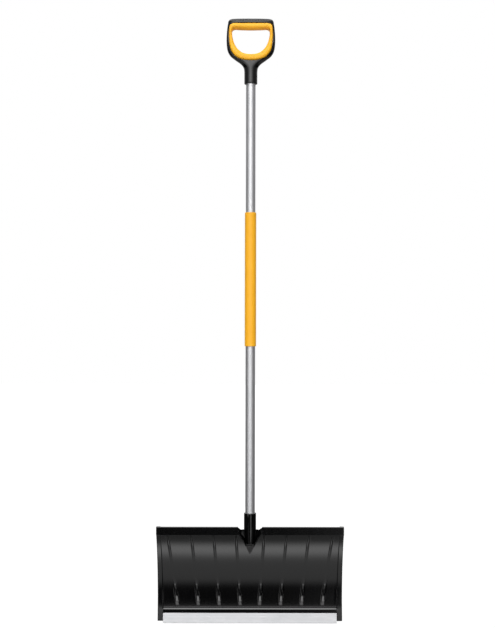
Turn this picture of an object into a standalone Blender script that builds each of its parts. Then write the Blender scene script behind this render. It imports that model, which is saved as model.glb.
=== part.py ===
"""Snow pusher: a curved black blade, an aluminium shaft and a D-handle, each piece its own solid.

Dimensions are in millimetres and become metres when a mesh is made. X runs across the blade,
+Y points behind the shovel and +Z up. The origin is the middle of the scraper's lower edge.
Shapes are drawn in (x, fwd, z), where fwd is the distance in front of the shaft's axis.
"""
import math

import bmesh
import bpy
from mathutils import Vector

MM = 0.001

# Shaft
SHAFT_Y = 30.5              # the shaft's axis lies this far behind the scraper's edge
TUBE_R = 13.0
TUBE_WALL = 1.3
TUBE_BOTTOM = 100.3
TUBE_TOP = 1499.7
GAP = 0.3                   # clearance between touching pieces
SLEEVE_R = 15.45
SLEEVE_BOTTOM = 740.0
SLEEVE_TOP = 1102.0
SLEEVE_CHAMFER = 1.6
ROUND_STEPS = 40

# Blade: a sheet bent to an arc, a lip along its top, a post down each side, a bar below
BLADE_HALF_WIDTH = 247.5
BLADE_TOP = 267.0
SHEET_FWD = 18.9            # front of the sheet at its deepest line
DEEPEST_Z = 64.0
UPPER_RADIUS = 350.0
LOWER_RADIUS = 220.0
SHEET_WALL = 3.5
SHEET_LOW_DEG = -6.2
SHEET_HIGH_DEG = 31.2
POST_PROUD = 5.0
POST_BACK = 9.0             # how far the posts reach behind the sheet's front
POST_BOTTOM = 4.6
POST_INNER_LOW = 233.3
POST_INNER_HIGH = 236.4
POST_STEP = 0.5             # run of the wall between post and sheet
LIP_BOTTOM = 247.0
LIP_FWD = 79.6
LIP_DEPTH = 6.5
EDGE_ROUND = 0.9
LEDGE_TOP = 38.5
LEDGE_BEVEL = (2.4, 3.0)     # back and down from the ledge's front edge

# Grooves pressed into the sheet, fanning out towards the top
GROOVE_FEET = (26.0, 82.0, 138.3, 194.5)
GROOVE_HEADS = (37.5, 97.0, 156.0, 219.0)
GROOVE_LOW_Z = 47.0
GROOVE_HIGH_Z = 232.0
GROOVE_RAMP = 15.0
GROOVE_DEPTH = 2.0
GROOVE_HALF_FLOOR = 3.3
GROOVE_HALF_MOUTH = 5.2

# Scraper strip, drawn in its own leaning plane: s forward, t up along the strip
STRIP_FWD = 30.5
STRIP_LEAN = math.radians(9.0)
STRIP_HALF_LENGTH = 232.5
STRIP_FRONT = 3.0
STRIP_BACK = -4.6
STRIP_HEIGHT = 26.0
STRIP_BACK_HEIGHT = 18.0
STRIP_FRONT_WALL = 2.0
STRIP_BACK_WALL = 1.6
STRIP_EDGE = 5.0
STRIP_GROOVES = (6.5, 10.0, 17.5)
STRIP_GROOVE_DEPTH = 0.35
STRIP_GROOVE_HALF = 0.6
STRIP_FOOT = (3.2, 2.6)     # the flat lower edge, behind and before the strip's line
BAR_FRONT = 1.9
BAR_BACK = -4.2
RIVET_T = 12.0
TONGUE_CUT = (-3.6, 1.0)    # reach of the rivet holes' cutters
FLANGE_CUT = (-8.0, -2.0)
RIVET_SHANK_R = 1.6
RIVET_HOLE_R = 1.9
RIVET_HEAD_R = 3.3
RIVET_HEAD_HEIGHT = 1.5
RIVET_STEPS = 16

# Socket behind the blade, with the pocket that opens it to the front
SOCKET_R = 16.4
SOCKET_TOP = 289.0
SOCKET_BOTTOM = 92.0
SOCKET_FLOOR = 100.0
SOCKET_ROUND = 1.4
SPINE_HALF_WIDTH = 11.0
SPINE_BACK = -4.0
SPINE_TOP = 232.0
POCKET_BACK = 8.0
POCKET_FRONT = 100.0
POCKET_WALL = 3.0
# each edge of the pocket is a line: (x, fwd, z) on the sheet, then at the pocket's back
POCKET_KEEL = ((0.0, 44.0, 188.0), (0.0, POCKET_BACK, 200.0))
POCKET_SHOULDER = ((18.5, 62.0, 225.0), (3.0, POCKET_BACK, 200.8))
POCKET_SIDE = ((31.3, 71.0, 246.0), (17.5, POCKET_BACK, 236.0))
POCKET_RIM = ((4.5, 245.0), (37.0, 251.0), (76.0, 265.8))
POCKET_STEP = 6.5

# Screws that pin the shaft, driven in from behind
SCREW_SHANK_R = 1.9
SCREW_HOLE_R = 2.2
SCREW_CUT = (-30.0, -6.0)    # reach of the screw holes' cutters
SCREW_HEAD_R = 4.2
SCREW_HEAD_HEIGHT = 2.4
SCREW_LENGTH = 12.0
SCREW_RECESS_R = 1.7
SCREW_RECESS_DEPTH = 1.4
BLADE_SCREW_Z = (128.0, 178.0)
HANDLE_SCREW_Z = (1470.0,)

# Plugs pressed into the tube's ends
PLUG_R = 11.3
LOWER_PLUG = (104.0, 196.0)
UPPER_PLUG = (1456.0, 1496.0)
PLUG_BORE_R = 5.0

# D-handle
HANDLE_BOTTOM = 1450.0
HANDLE_TOP = 1627.0
HANDLE_BORE_TOP = 1500.0
# half-width of the frame by height, from the socket's mouth to the corners of the top
FRAME_WIDTHS = (
    (1453.0, 17.8), (1470.0, 17.8), (1484.0, 18.0), (1494.0, 19.8), (1504.4, 27.4),
    (1515.2, 42.0), (1526.1, 55.6), (1540.0, 63.2), (1560.0, 65.9), (1582.0, 65.7),
    (1602.0, 64.0), (1614.0, 62.0),
)
FRAME_CORNER_Z = 1614.0
FRAME_CORNER_R = 9.6
FRAME_SOCKET_DEPTH = 17.8
FRAME_RING_DEPTH = 15.0
DEPTH_BLEND_Z, DEPTH_BLEND_LENGTH = 1486.0, 40.0
SQUARE_BLEND_Z, SQUARE_BLEND_LENGTH = 1490.0, 30.0
FRAME_SQUARE = 4.0          # superellipse power of the frame's section; 2 is an ellipse
# right half of the soft grip's outline and of the hand opening, top centre to bottom centre
GRIP_OUTLINE = (
    (0.0, 1613.8), (30.0, 1613.5), (48.0, 1612.8), (57.2, 1607.5), (59.6, 1592.0), (59.8, 1574.0),
    (57.8, 1553.0), (52.6, 1535.5), (38.0, 1519.8), (18.0, 1512.6), (0.0, 1511.2),
)
HAND_OUTLINE = (
    (0.0, 1597.3), (28.0, 1598.0), (43.0, 1598.7), (50.0, 1594.0), (50.7, 1584.0), (48.7, 1572.0),
    (44.6, 1559.0), (37.3, 1546.6), (25.0, 1535.9), (12.5, 1531.6), (0.0, 1530.5),
)
GRIP_BAR_DEPTH = 17.0
GRIP_SIDE_DEPTH = 14.5
GRIP_SQUARE = 2.8
BAR_BLEND_Z, BAR_BLEND_LENGTH = 1575.0, 20.0

COLOURS = {
    "black_polypropylene": ((0.013, 0.013, 0.014), 0.28, 0.0),
    "handle_polypropylene": ((0.022, 0.022, 0.025), 0.42, 0.0),
    "orange_soft_grip": ((0.93, 0.45, 0.05), 0.5, 0.0),
    "orange_sleeve": ((0.93, 0.46, 0.05), 0.45, 0.0),
    "shaft_aluminium": ((0.70, 0.70, 0.71), 0.32, 1.0),
    "strip_aluminium": ((0.78, 0.78, 0.79), 0.35, 1.0),
    "zinc_steel": ((0.55, 0.56, 0.58), 0.3, 1.0),
    "plug_polyethylene": ((0.03, 0.03, 0.03), 0.5, 0.0),
}


def clear_scene():
    for old in list(bpy.data.objects):
        bpy.data.objects.remove(old, do_unlink=True)


def material(name):
    """A Principled material with the colour, roughness and metallic value of COLOURS."""
    found = bpy.data.materials.get(name)
    if found:
        return found
    colour, roughness, metallic = COLOURS[name]
    made = bpy.data.materials.new(name)
    made.use_nodes = True
    shader = made.node_tree.nodes["Principled BSDF"]
    shader.inputs["Base Color"].default_value = (*colour, 1.0)
    shader.inputs["Roughness"].default_value = roughness
    shader.inputs["Metallic"].default_value = metallic
    return made


def place(x, fwd, z):
    """World position, in metres, of a point given across, forward of the shaft and up."""
    return Vector((x * MM, (SHAFT_Y - fwd) * MM, z * MM))


def object_from(name, bm, material_name, smooth_angle=35.0):
    """Turn a bmesh into a named object with outward faces and smooth round sides."""
    bmesh.ops.recalc_face_normals(bm, faces=bm.faces)
    mesh = bpy.data.meshes.new(name)
    bm.to_mesh(mesh)
    bm.free()
    if mesh.attributes.get("sharp_edge") is None:
        mesh.shade_smooth()
        mesh.set_sharp_from_angle(angle=math.radians(smooth_angle))
    mesh.materials.append(material(material_name))
    made = bpy.data.objects.new(name, mesh)
    bpy.context.scene.collection.objects.link(made)
    return made


def loft(rings):
    """Join closed rings of points, each a list of positions, and cap both ends."""
    bm = bmesh.new()
    rows = [[bm.verts.new(point) for point in ring] for ring in rings]
    count = len(rows[0])
    for near, far in zip(rows, rows[1:]):
        for i in range(count):
            j = (i + 1) % count
            bm.faces.new((near[i], near[j], far[j], far[i]))
    bm.faces.new(rows[0])
    bm.faces.new(rows[-1])
    return bm


def loop_loft(rings):
    """Join closed rings into a closed loop, the last one back to the first."""
    bm = bmesh.new()
    rows = [[bm.verts.new(point) for point in ring] for ring in rings]
    count = len(rows[0])
    for k, near in enumerate(rows):
        far = rows[(k + 1) % len(rows)]
        for i in range(count):
            j = (i + 1) % count
            bm.faces.new((near[i], near[j], far[j], far[i]))
    return bm


def turned(profile, steps=ROUND_STEPS, twist=0.0):
    """Turn a closed outline of (radius, z) about the shaft's axis; radius 0 makes a pole.

    twist turns the facets by a share of one step, so that a bore's corners miss its socket's.
    """
    bm = bmesh.new()
    columns = []
    poles = {}
    for i in range(steps):
        angle = math.tau * (i + twist) / steps
        column = []
        for k, (radius, z) in enumerate(profile):
            if radius == 0.0:
                if k not in poles:
                    poles[k] = bm.verts.new(place(0.0, 0.0, z))
                column.append(poles[k])
            else:
                x, fwd = radius * math.cos(angle), radius * math.sin(angle)
                column.append(bm.verts.new(place(x, fwd, z)))
        columns.append(column)
    count = len(profile)
    closed = not poles
    for i, near in enumerate(columns):
        far = columns[(i + 1) % steps]
        for k in range(count if closed else count - 1):
            corners = (near[k], near[(k + 1) % count], far[(k + 1) % count], far[k])
            bm.faces.new(list(dict.fromkeys(corners)))
    return bm


def prism(outline, low_x, high_x):
    """Extrude an outline of (fwd, z) points across the blade."""
    return loft([[place(x, fwd, z) for fwd, z in outline] for x in (low_x, high_x)])


def guide(made):
    """Mark an object as a cutter or a joining guide, which the model leaves out."""
    made.hide_render = True
    made.display_type = "WIRE"
    made.hide_set(True)
    return made


def combine(target, tool, operation):
    """Add a Boolean modifier of the exact solver."""
    modifier = target.modifiers.new(tool.name, "BOOLEAN")
    modifier.operation = operation
    modifier.solver = "EXACT"
    modifier.object = guide(tool)


def smoothstep(value):
    value = min(max(value, 0.0), 1.0)
    return value * value * (3.0 - 2.0 * value)


def through(points, per_span):
    """Catmull-Rom curve through 2-D points, with per_span steps between neighbours."""
    padded = [points[0], *points, points[-1]]
    curve = []
    for a, b, c, d in zip(padded, padded[1:], padded[2:], padded[3:]):
        for step in range(per_span):
            u = step / per_span
            weights = (
                -0.5 * u + u * u - 0.5 * u ** 3,
                1.0 - 2.5 * u * u + 1.5 * u ** 3,
                0.5 * u + 2.0 * u * u - 1.5 * u ** 3,
                -0.5 * u * u + 0.5 * u ** 3,
            )
            curve.append(tuple(
                sum(w * p[axis] for w, p in zip(weights, (a, b, c, d))) for axis in (0, 1)))
    curve.append(tuple(points[-1]))
    return curve


# ---------------------------------------------------------------- blade

def scoop(degrees, ahead):
    """Point (fwd, z) of the bent sheet at an angle up its arc, ahead of its front face."""
    radius = UPPER_RADIUS if degrees >= 0.0 else LOWER_RADIUS
    angle = math.radians(degrees)
    fwd = SHEET_FWD + radius - (radius - ahead) * math.cos(angle)
    return fwd, DEEPEST_Z + (radius - ahead) * math.sin(angle)


def strip_plane(s, t):
    """Point (fwd, z) of the scraper's leaning plane: s in front of it, t up along it."""
    fwd = STRIP_FWD + s * math.cos(STRIP_LEAN) - t * math.sin(STRIP_LEAN)
    return fwd, s * math.sin(STRIP_LEAN) + t * math.cos(STRIP_LEAN)


def spread(low, high, count):
    return [low + (high - low) * i / (count - 1) for i in range(count)]


SHEET_ROWS = spread(SHEET_LOW_DEG, -0.6, 4) + spread(2.0, 25.4, 8) + spread(26.9, SHEET_HIGH_DEG, 4)


def groove_depth(z):
    rise = smoothstep((z - GROOVE_LOW_Z) / GROOVE_RAMP)
    fall = smoothstep((GROOVE_HIGH_Z - z) / GROOVE_RAMP)
    return GROOVE_DEPTH * rise * fall


def sheet_section(sunk):
    """Outline (fwd, z) of the blade between the posts: bar, sheet and lip."""
    front = [scoop(deg, -sunk * groove_depth(scoop(deg, 0.0)[1])) for deg in SHEET_ROWS]
    back = [
        scoop(deg, -SHEET_WALL - sunk * groove_depth(scoop(deg, 0.0)[1]))
        for deg in reversed(SHEET_ROWS)
    ]
    tongue_front = STRIP_FRONT - STRIP_FRONT_WALL - GAP
    tongue_back = STRIP_BACK + STRIP_BACK_WALL + GAP
    bar_low = STRIP_HEIGHT + GAP
    bar_fwd = strip_plane(BAR_FRONT, bar_low)[0]
    lip_back = LIP_FWD - LIP_DEPTH
    return [
        strip_plane(tongue_front, STRIP_EDGE + GAP),
        strip_plane(tongue_front, bar_low),
        strip_plane(BAR_FRONT, bar_low),
        (bar_fwd, LEDGE_TOP - LEDGE_BEVEL[1]),
        (bar_fwd - LEDGE_BEVEL[0], LEDGE_TOP),
        *front,
        (LIP_FWD - EDGE_ROUND, LIP_BOTTOM),
        (LIP_FWD, LIP_BOTTOM + EDGE_ROUND),
        (LIP_FWD, BLADE_TOP - EDGE_ROUND),
        (LIP_FWD - EDGE_ROUND, BLADE_TOP),
        (lip_back + EDGE_ROUND, BLADE_TOP),
        (lip_back, BLADE_TOP - EDGE_ROUND),
        (lip_back, LIP_BOTTOM + 4.0),
        *back,
        strip_plane(BAR_BACK, LEDGE_TOP - 4.0),
        strip_plane(BAR_BACK, STRIP_BACK_HEIGHT + GAP),
        strip_plane(tongue_back, STRIP_BACK_HEIGHT + GAP),
        strip_plane(tongue_back, STRIP_EDGE + GAP),
    ]


def post_section(inset):
    """Outline (fwd, z) of a side post, with as many points as the sheet's section."""
    proud = POST_PROUD - inset
    behind = -POST_BACK + inset
    front_foot = spread(-15.6, SHEET_LOW_DEG - 0.9, 5)
    back_foot = spread(SHEET_LOW_DEG - 0.9, -15.2, 4)
    low = POST_BOTTOM + inset
    front = [scoop(deg, proud) for deg in front_foot + SHEET_ROWS]
    back = [scoop(deg, behind) for deg in list(reversed(SHEET_ROWS)) + back_foot]
    front[0] = (front[0][0], low)
    back[-1] = (back[-1][0], low)
    lip_front = LIP_FWD - inset
    lip_back = LIP_FWD - POST_PROUD - POST_BACK + inset
    top = BLADE_TOP - inset
    return [
        *front,
        (lip_front - EDGE_ROUND, LIP_BOTTOM),
        (lip_front, LIP_BOTTOM + EDGE_ROUND),
        (lip_front, top - EDGE_ROUND),
        (lip_front - EDGE_ROUND, top),
        (lip_back + EDGE_ROUND, top),
        (lip_back, top - EDGE_ROUND),
        (lip_back, LIP_BOTTOM + 6.0),
        *back,
    ]


def along_height(z, at_foot, at_head):
    """Value that runs evenly from the foot of the grooves to their heads."""
    share = (z - GROOVE_LOW_Z) / (GROOVE_HIGH_Z - GROOVE_LOW_Z)
    return at_foot + (at_head - at_foot) * min(max(share, 0.0), 1.0)


def blade_body():
    """The bent sheet with its bar, grooves, posts and lip, lofted from side to side."""
    half = []
    for foot, head in zip(GROOVE_FEET, GROOVE_HEADS):
        for offset, sunk in ((-GROOVE_HALF_MOUTH, 0), (-GROOVE_HALF_FLOOR, 1),
                             (GROOVE_HALF_FLOOR, 1), (GROOVE_HALF_MOUTH, 0)):
            half.append((foot + offset, head + offset, sheet_section(sunk)))
    half.append((POST_INNER_LOW - POST_STEP, POST_INNER_HIGH - POST_STEP, sheet_section(0)))
    half.append((POST_INNER_LOW, POST_INNER_HIGH, post_section(0.0)))
    full_x = BLADE_HALF_WIDTH - 1.2
    half.append((full_x, full_x, post_section(0.0)))
    half.append((BLADE_HALF_WIDTH, BLADE_HALF_WIDTH, post_section(1.2)))
    rings = []
    for side, stations in ((-1.0, reversed(half)), (1.0, half)):
        for foot, head, section in stations:
            rings.append([place(side * along_height(z, foot, head), fwd, z) for fwd, z in section])
    return loft(rings)


def on_line(line, fwd):
    """Point (x, z) where an edge of the pocket crosses a given fwd."""
    (x0, f0, z0), (x1, f1, z1) = line
    share = (fwd - f0) / (f1 - f0)
    return x0 + (x1 - x0) * share, z0 + (z1 - z0) * share


def pocket_ring(fwd, top, thickness=0.0):
    """Outline of the pocket at one fwd, keel first, grown outwards by a wall thickness."""
    keel_z = on_line(POCKET_KEEL, fwd)[1]
    shoulder_x, shoulder_z = on_line(POCKET_SHOULDER, fwd)
    side_x, side_z = on_line(POCKET_SIDE, fwd)
    half = [
        (shoulder_x + thickness, shoulder_z - 0.6 * thickness),
        (side_x + thickness, side_z - 0.3 * thickness),
        (side_x + thickness, top),
    ]
    points = [(0.0, keel_z - 1.3 * thickness), *half, *[(-x, z) for x, z in reversed(half)]]
    return [place(x, fwd, z) for x, z in points]


def behind_sheet(low_deg, half_width):
    """Solid filling the space from inside the sheet's wall to well behind the shaft."""
    arc = [scoop(deg, -0.5 * SHEET_WALL) for deg in spread(low_deg, SHEET_HIGH_DEG - 0.4, 14)]
    lip_middle = LIP_FWD - 0.5 * LIP_DEPTH
    outline = [(-40.0, arc[0][1]), *arc, (lip_middle, LIP_BOTTOM + 3.0), (lip_middle, 300.0),
               (-40.0, 300.0)]
    return prism(outline, -half_width, half_width)


def rim_height(fwd):
    """Height of the pocket's rim, which falls from the lip to the socket."""
    for (f0, z0), (f1, z1) in zip(POCKET_RIM, POCKET_RIM[1:]):
        if fwd <= f1:
            return z0 + (z1 - z0) * (fwd - f0) / (f1 - f0)
    return POCKET_RIM[-1][1]


def blade_back():
    """The pocket's shell and the spine under the socket, trimmed to the sheet."""
    start, end = POCKET_RIM[0][0], POCKET_RIM[-1][0]
    steps = round((end - start) / POCKET_STEP) + 1
    rim = [pocket_ring(fwd, rim_height(fwd), POCKET_WALL) for fwd in spread(start, end, steps)]
    shell = object_from("pocket_shell", loft(rim), "black_polypropylene")
    spine = [(SPINE_BACK, SOCKET_BOTTOM + 6.0), (40.0, SOCKET_BOTTOM + 2.0), (80.0, SPINE_TOP),
             (SPINE_BACK, SPINE_TOP)]
    combine(shell, object_from("spine", prism(spine, -SPINE_HALF_WIDTH, SPINE_HALF_WIDTH),
                               "black_polypropylene"), "UNION")
    combine(shell, object_from("sheet_side", behind_sheet(-2.0, 60.0), "black_polypropylene"),
            "INTERSECT")
    return shell


def socket():
    rounding = SOCKET_ROUND
    profile = [
        (0.0, SOCKET_TOP), (SOCKET_R - rounding, SOCKET_TOP),
        (SOCKET_R - 0.3 * rounding, SOCKET_TOP - 0.3 * rounding),
        (SOCKET_R, SOCKET_TOP - rounding), (SOCKET_R, SOCKET_BOTTOM + 3.0),
        (SOCKET_R - 3.0, SOCKET_BOTTOM), (0.0, SOCKET_BOTTOM),
    ]
    return object_from("socket", turned(profile, twist=0.5), "black_polypropylene")


def bore(name, low, high, radius=TUBE_R + GAP):
    profile = [(0.0, high), (radius, high), (radius, low), (0.0, low)]
    return object_from(name, turned(profile), "black_polypropylene")


def cross_pins(name, places, radius, start, end, lean=0.0, steps=RIVET_STEPS):
    """Round cutters, one at each (x, fwd, z), that run forward from start to end."""
    bm = bmesh.new()
    for x, fwd, z in places:
        rows = []
        for reach in (start, end):
            row = []
            for i in range(steps):
                angle = math.tau * (i + 0.5) / steps
                up = radius * math.sin(angle)
                along = fwd + reach * math.cos(lean) - up * math.sin(lean)
                height = z + reach * math.sin(lean) + up * math.cos(lean)
                row.append(bm.verts.new(place(x + radius * math.cos(angle), along, height)))
            rows.append(row)
        for i in range(steps):
            j = (i + 1) % steps
            bm.faces.new((rows[0][i], rows[0][j], rows[1][j], rows[1][i]))
        bm.faces.new(rows[0])
        bm.faces.new(rows[1])
    return object_from(name, bm, "black_polypropylene")


def rivet_places():
    fwd, z = strip_plane(0.0, RIVET_T)
    return [(side * x, fwd, z) for side in (-1.0, 1.0) for x in GROOVE_FEET]


def build_blade():
    blade = object_from("blade", blade_body(), "black_polypropylene")
    combine(blade, blade_back(), "UNION")
    steps = round((POCKET_FRONT - POCKET_BACK) / POCKET_STEP) + 1
    cuts = spread(POCKET_BACK, POCKET_FRONT, steps)
    pocket = loft([pocket_ring(fwd, BLADE_TOP + 40.0) for fwd in cuts])
    combine(blade, object_from("pocket", pocket, "black_polypropylene"), "DIFFERENCE")
    combine(blade, socket(), "UNION")
    combine(blade, bore("blade_bore", SOCKET_FLOOR, SOCKET_TOP + 20.0), "DIFFERENCE")
    screws = [(0.0, 0.0, z) for z in BLADE_SCREW_Z]
    combine(blade, cross_pins("blade_screw_holes", screws, SCREW_HOLE_R, *SCREW_CUT), "DIFFERENCE")
    combine(blade, cross_pins("tongue_holes", rivet_places(), RIVET_HOLE_R, *TONGUE_CUT, STRIP_LEAN),
            "DIFFERENCE")
    return blade


# ---------------------------------------------------------------- scraper strip

def build_strip():
    """Aluminium extrusion: a front face with fine grooves, a back flange, a solid edge."""
    front_wall = STRIP_FRONT - STRIP_FRONT_WALL
    back_wall = STRIP_BACK + STRIP_BACK_WALL
    outline = [(STRIP_FWD - STRIP_FOOT[0], 0.0), (STRIP_FWD + STRIP_FOOT[1], 0.0),
               strip_plane(STRIP_FRONT, 0.4)]
    for t in STRIP_GROOVES:
        outline.append(strip_plane(STRIP_FRONT, t - STRIP_GROOVE_HALF))
        outline.append(strip_plane(STRIP_FRONT - STRIP_GROOVE_DEPTH, t))
        outline.append(strip_plane(STRIP_FRONT, t + STRIP_GROOVE_HALF))
    outline += [
        strip_plane(STRIP_FRONT, STRIP_HEIGHT - 0.8),
        strip_plane(STRIP_FRONT - 0.6, STRIP_HEIGHT),
        strip_plane(front_wall, STRIP_HEIGHT),
        strip_plane(front_wall, STRIP_EDGE),
        strip_plane(back_wall, STRIP_EDGE),
        strip_plane(back_wall, STRIP_BACK_HEIGHT),
        strip_plane(STRIP_BACK + 0.4, STRIP_BACK_HEIGHT),
        strip_plane(STRIP_BACK, STRIP_BACK_HEIGHT - 0.6),
        strip_plane(STRIP_BACK, 1.6),
    ]
    strip = object_from("scraper_strip", prism(outline, -STRIP_HALF_LENGTH, STRIP_HALF_LENGTH),
                        "strip_aluminium")
    combine(strip, cross_pins("flange_holes", rivet_places(), RIVET_HOLE_R, *FLANGE_CUT, STRIP_LEAN),
            "DIFFERENCE")
    return strip


def headed_pin(name, profile, x, fwd, z, lean, material_name, steps=RIVET_STEPS):
    """Turn (radius, reach) points about an axis that runs forward from behind the shovel."""
    bm = bmesh.new()
    first, last = [
        bm.verts.new(place(x, fwd + reach * math.cos(lean), z + reach * math.sin(lean)))
        for reach in (profile[0][1], profile[-1][1])
    ]
    rows = []
    for radius, reach in profile[1:-1]:
        row = []
        for i in range(steps):
            angle = math.tau * i / steps
            up = radius * math.sin(angle)
            along = fwd + reach * math.cos(lean) - up * math.sin(lean)
            height = z + reach * math.sin(lean) + up * math.cos(lean)
            row.append(bm.verts.new(place(x + radius * math.cos(angle), along, height)))
        rows.append(row)
    for i in range(steps):
        j = (i + 1) % steps
        bm.faces.new((first, rows[0][i], rows[0][j]))
        for near, far in zip(rows, rows[1:]):
            bm.faces.new((near[i], near[j], far[j], far[i]))
        bm.faces.new((rows[-1][i], rows[-1][j], last))
    return object_from(name, bm, material_name)


def build_rivets():
    """Mushroom-headed rivets through the strip's back flange and the blade's tongue."""
    seat = STRIP_BACK - GAP
    tip = STRIP_FRONT - STRIP_FRONT_WALL - GAP
    profile = [(0.0, seat - RIVET_HEAD_HEIGHT)]
    for share in (0.4, 0.75, 1.0):
        drop = RIVET_HEAD_HEIGHT * (1.0 - math.sqrt(1.0 - (0.94 * share) ** 2))
        profile.append((RIVET_HEAD_R * share, seat - RIVET_HEAD_HEIGHT + drop))
    profile += [(RIVET_HEAD_R, seat), (RIVET_SHANK_R, seat), (RIVET_SHANK_R, tip), (0.0, tip)]
    for number, (x, fwd, z) in enumerate(rivet_places(), 1):
        headed_pin(f"strip_rivet_{number}", profile, x, fwd, z, STRIP_LEAN, "strip_aluminium")


# ---------------------------------------------------------------- shaft

def build_tube():
    outer, inner = TUBE_R, TUBE_R - TUBE_WALL
    profile = [(outer, TUBE_TOP), (outer, TUBE_BOTTOM), (inner, TUBE_BOTTOM), (inner, TUBE_TOP)]
    tube = object_from("shaft_tube", turned(profile), "shaft_aluminium")
    holes = [(0.0, 0.0, z) for z in BLADE_SCREW_Z + HANDLE_SCREW_Z]
    combine(tube, cross_pins("tube_holes", holes, SCREW_HOLE_R, -20.0, -6.0), "DIFFERENCE")
    return tube


def build_sleeve():
    inner = TUBE_R + GAP
    chamfer = SLEEVE_CHAMFER
    profile = [
        (inner, SLEEVE_BOTTOM), (inner, SLEEVE_TOP), (SLEEVE_R - chamfer, SLEEVE_TOP),
        (SLEEVE_R - 0.3 * chamfer, SLEEVE_TOP - 0.3 * chamfer), (SLEEVE_R, SLEEVE_TOP - chamfer),
        (SLEEVE_R, SLEEVE_BOTTOM + chamfer), (SLEEVE_R - 0.3 * chamfer, SLEEVE_BOTTOM + 0.3 * chamfer),
        (SLEEVE_R - chamfer, SLEEVE_BOTTOM),
    ]
    return object_from("shaft_sleeve", turned(profile), "orange_sleeve")


def build_plug(name, span, screw_heights):
    """A hollow plug in the tube's end that the screws bite into."""
    low, high = span
    profile = [
        (PLUG_R, high - 1.0), (PLUG_R, low + 1.0), (PLUG_R - 1.0, low), (PLUG_BORE_R, low),
        (PLUG_BORE_R, high), (PLUG_R - 1.0, high),
    ]
    plug = object_from(name, turned(profile, 32), "plug_polyethylene")
    holes = [(0.0, 0.0, z) for z in screw_heights]
    combine(plug, cross_pins(f"{name}_holes", holes, SCREW_HOLE_R, -20.0, -3.0), "DIFFERENCE")
    return plug


def build_screw(name, z, seat_r):
    """Pan-head screw from behind; its head stands on a wall of radius seat_r."""
    seat = -seat_r - GAP
    face = seat - SCREW_HEAD_HEIGHT
    profile = [
        (0.0, face + SCREW_RECESS_DEPTH), (0.6 * SCREW_RECESS_R, face + SCREW_RECESS_DEPTH),
        (SCREW_RECESS_R, face), (0.8 * SCREW_HEAD_R, face + 0.25), (SCREW_HEAD_R, face + 1.2),
        (SCREW_HEAD_R, seat), (SCREW_SHANK_R, seat), (SCREW_SHANK_R, seat + SCREW_LENGTH - 3.0),
        (0.0, seat + SCREW_LENGTH),
    ]
    return headed_pin(name, profile, 0.0, 0.0, z, 0.0, "zinc_steel")


# ---------------------------------------------------------------- D-handle

def frame_sections():
    """(z, half-width, half-depth) of the handle frame, bottom to top."""
    curve = through(FRAME_WIDTHS, 3)
    sections = [(HANDLE_BOTTOM, FRAME_WIDTHS[0][1] - 1.6, FRAME_SOCKET_DEPTH - 1.6)]
    for z, width in curve:
        blend = smoothstep((z - DEPTH_BLEND_Z) / DEPTH_BLEND_LENGTH)
        depth = FRAME_SOCKET_DEPTH + (FRAME_RING_DEPTH - FRAME_SOCKET_DEPTH) * blend
        sections.append((z, width, depth))
    corner_width = FRAME_WIDTHS[-1][1]
    rise = HANDLE_TOP - FRAME_CORNER_Z
    for step in range(1, 7):
        angle = 0.5 * math.pi * step / 6.4
        inset = FRAME_CORNER_R * (1.0 - math.cos(angle))
        sections.append((FRAME_CORNER_Z + rise * math.sin(angle) * 0.86, corner_width - inset,
                         FRAME_RING_DEPTH - 0.75 * inset))
    # the crowned top closes in over the last millimetres
    for share, lift in ((0.72, 0.955), (0.4, 0.99)):
        sections.append((FRAME_CORNER_Z + rise * lift, corner_width * share, 6.0 * share + 1.0))
    sections.append((HANDLE_TOP, 8.0, 1.6))
    return sections


def superellipse(z, width, depth, power, steps):
    """Ring of points at one height, from an ellipse (power 2) towards a rectangle."""
    ring = []
    for i in range(steps):
        angle = math.tau * i / steps
        c, s = math.cos(angle), math.sin(angle)
        x = width * math.copysign(abs(c) ** (2.0 / power), c)
        fwd = depth * math.copysign(abs(s) ** (2.0 / power), s)
        ring.append(place(x, fwd, z))
    return ring


def mirrored_loop(half):
    """Close a right-half outline, top to bottom, with its mirror image."""
    return half + [(-x, z) for x, z in reversed(half[1:-1])]


def build_handle_frame():
    rings = []
    for z, width, depth in frame_sections():
        power = 2.0 + (FRAME_SQUARE - 2.0) * smoothstep((z - SQUARE_BLEND_Z) / SQUARE_BLEND_LENGTH)
        rings.append(superellipse(z, width, depth, power, ROUND_STEPS))
    frame = object_from("handle_frame", loft(rings), "handle_polypropylene")
    outline = mirrored_loop(through(GRIP_OUTLINE, 4))
    centre_z = 0.5 * (GRIP_OUTLINE[0][1] + GRIP_OUTLINE[-1][1])
    grown = []
    for x, z in outline:
        reach = math.hypot(x, z - centre_z)
        scale = (reach + GAP) / reach
        grown.append((x * scale, centre_z + (z - centre_z) * scale))
    window = loft([[place(x, fwd, z) for x, z in grown] for fwd in (-40.0, 40.0)])
    combine(frame, object_from("grip_window", window, "handle_polypropylene"), "DIFFERENCE")
    combine(frame, bore("handle_bore", HANDLE_BOTTOM - 20.0, HANDLE_BORE_TOP), "DIFFERENCE")
    screws = [(0.0, 0.0, z) for z in HANDLE_SCREW_Z]
    combine(frame, cross_pins("handle_screw_hole", screws, SCREW_HOLE_R, *SCREW_CUT), "DIFFERENCE")
    return frame


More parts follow.
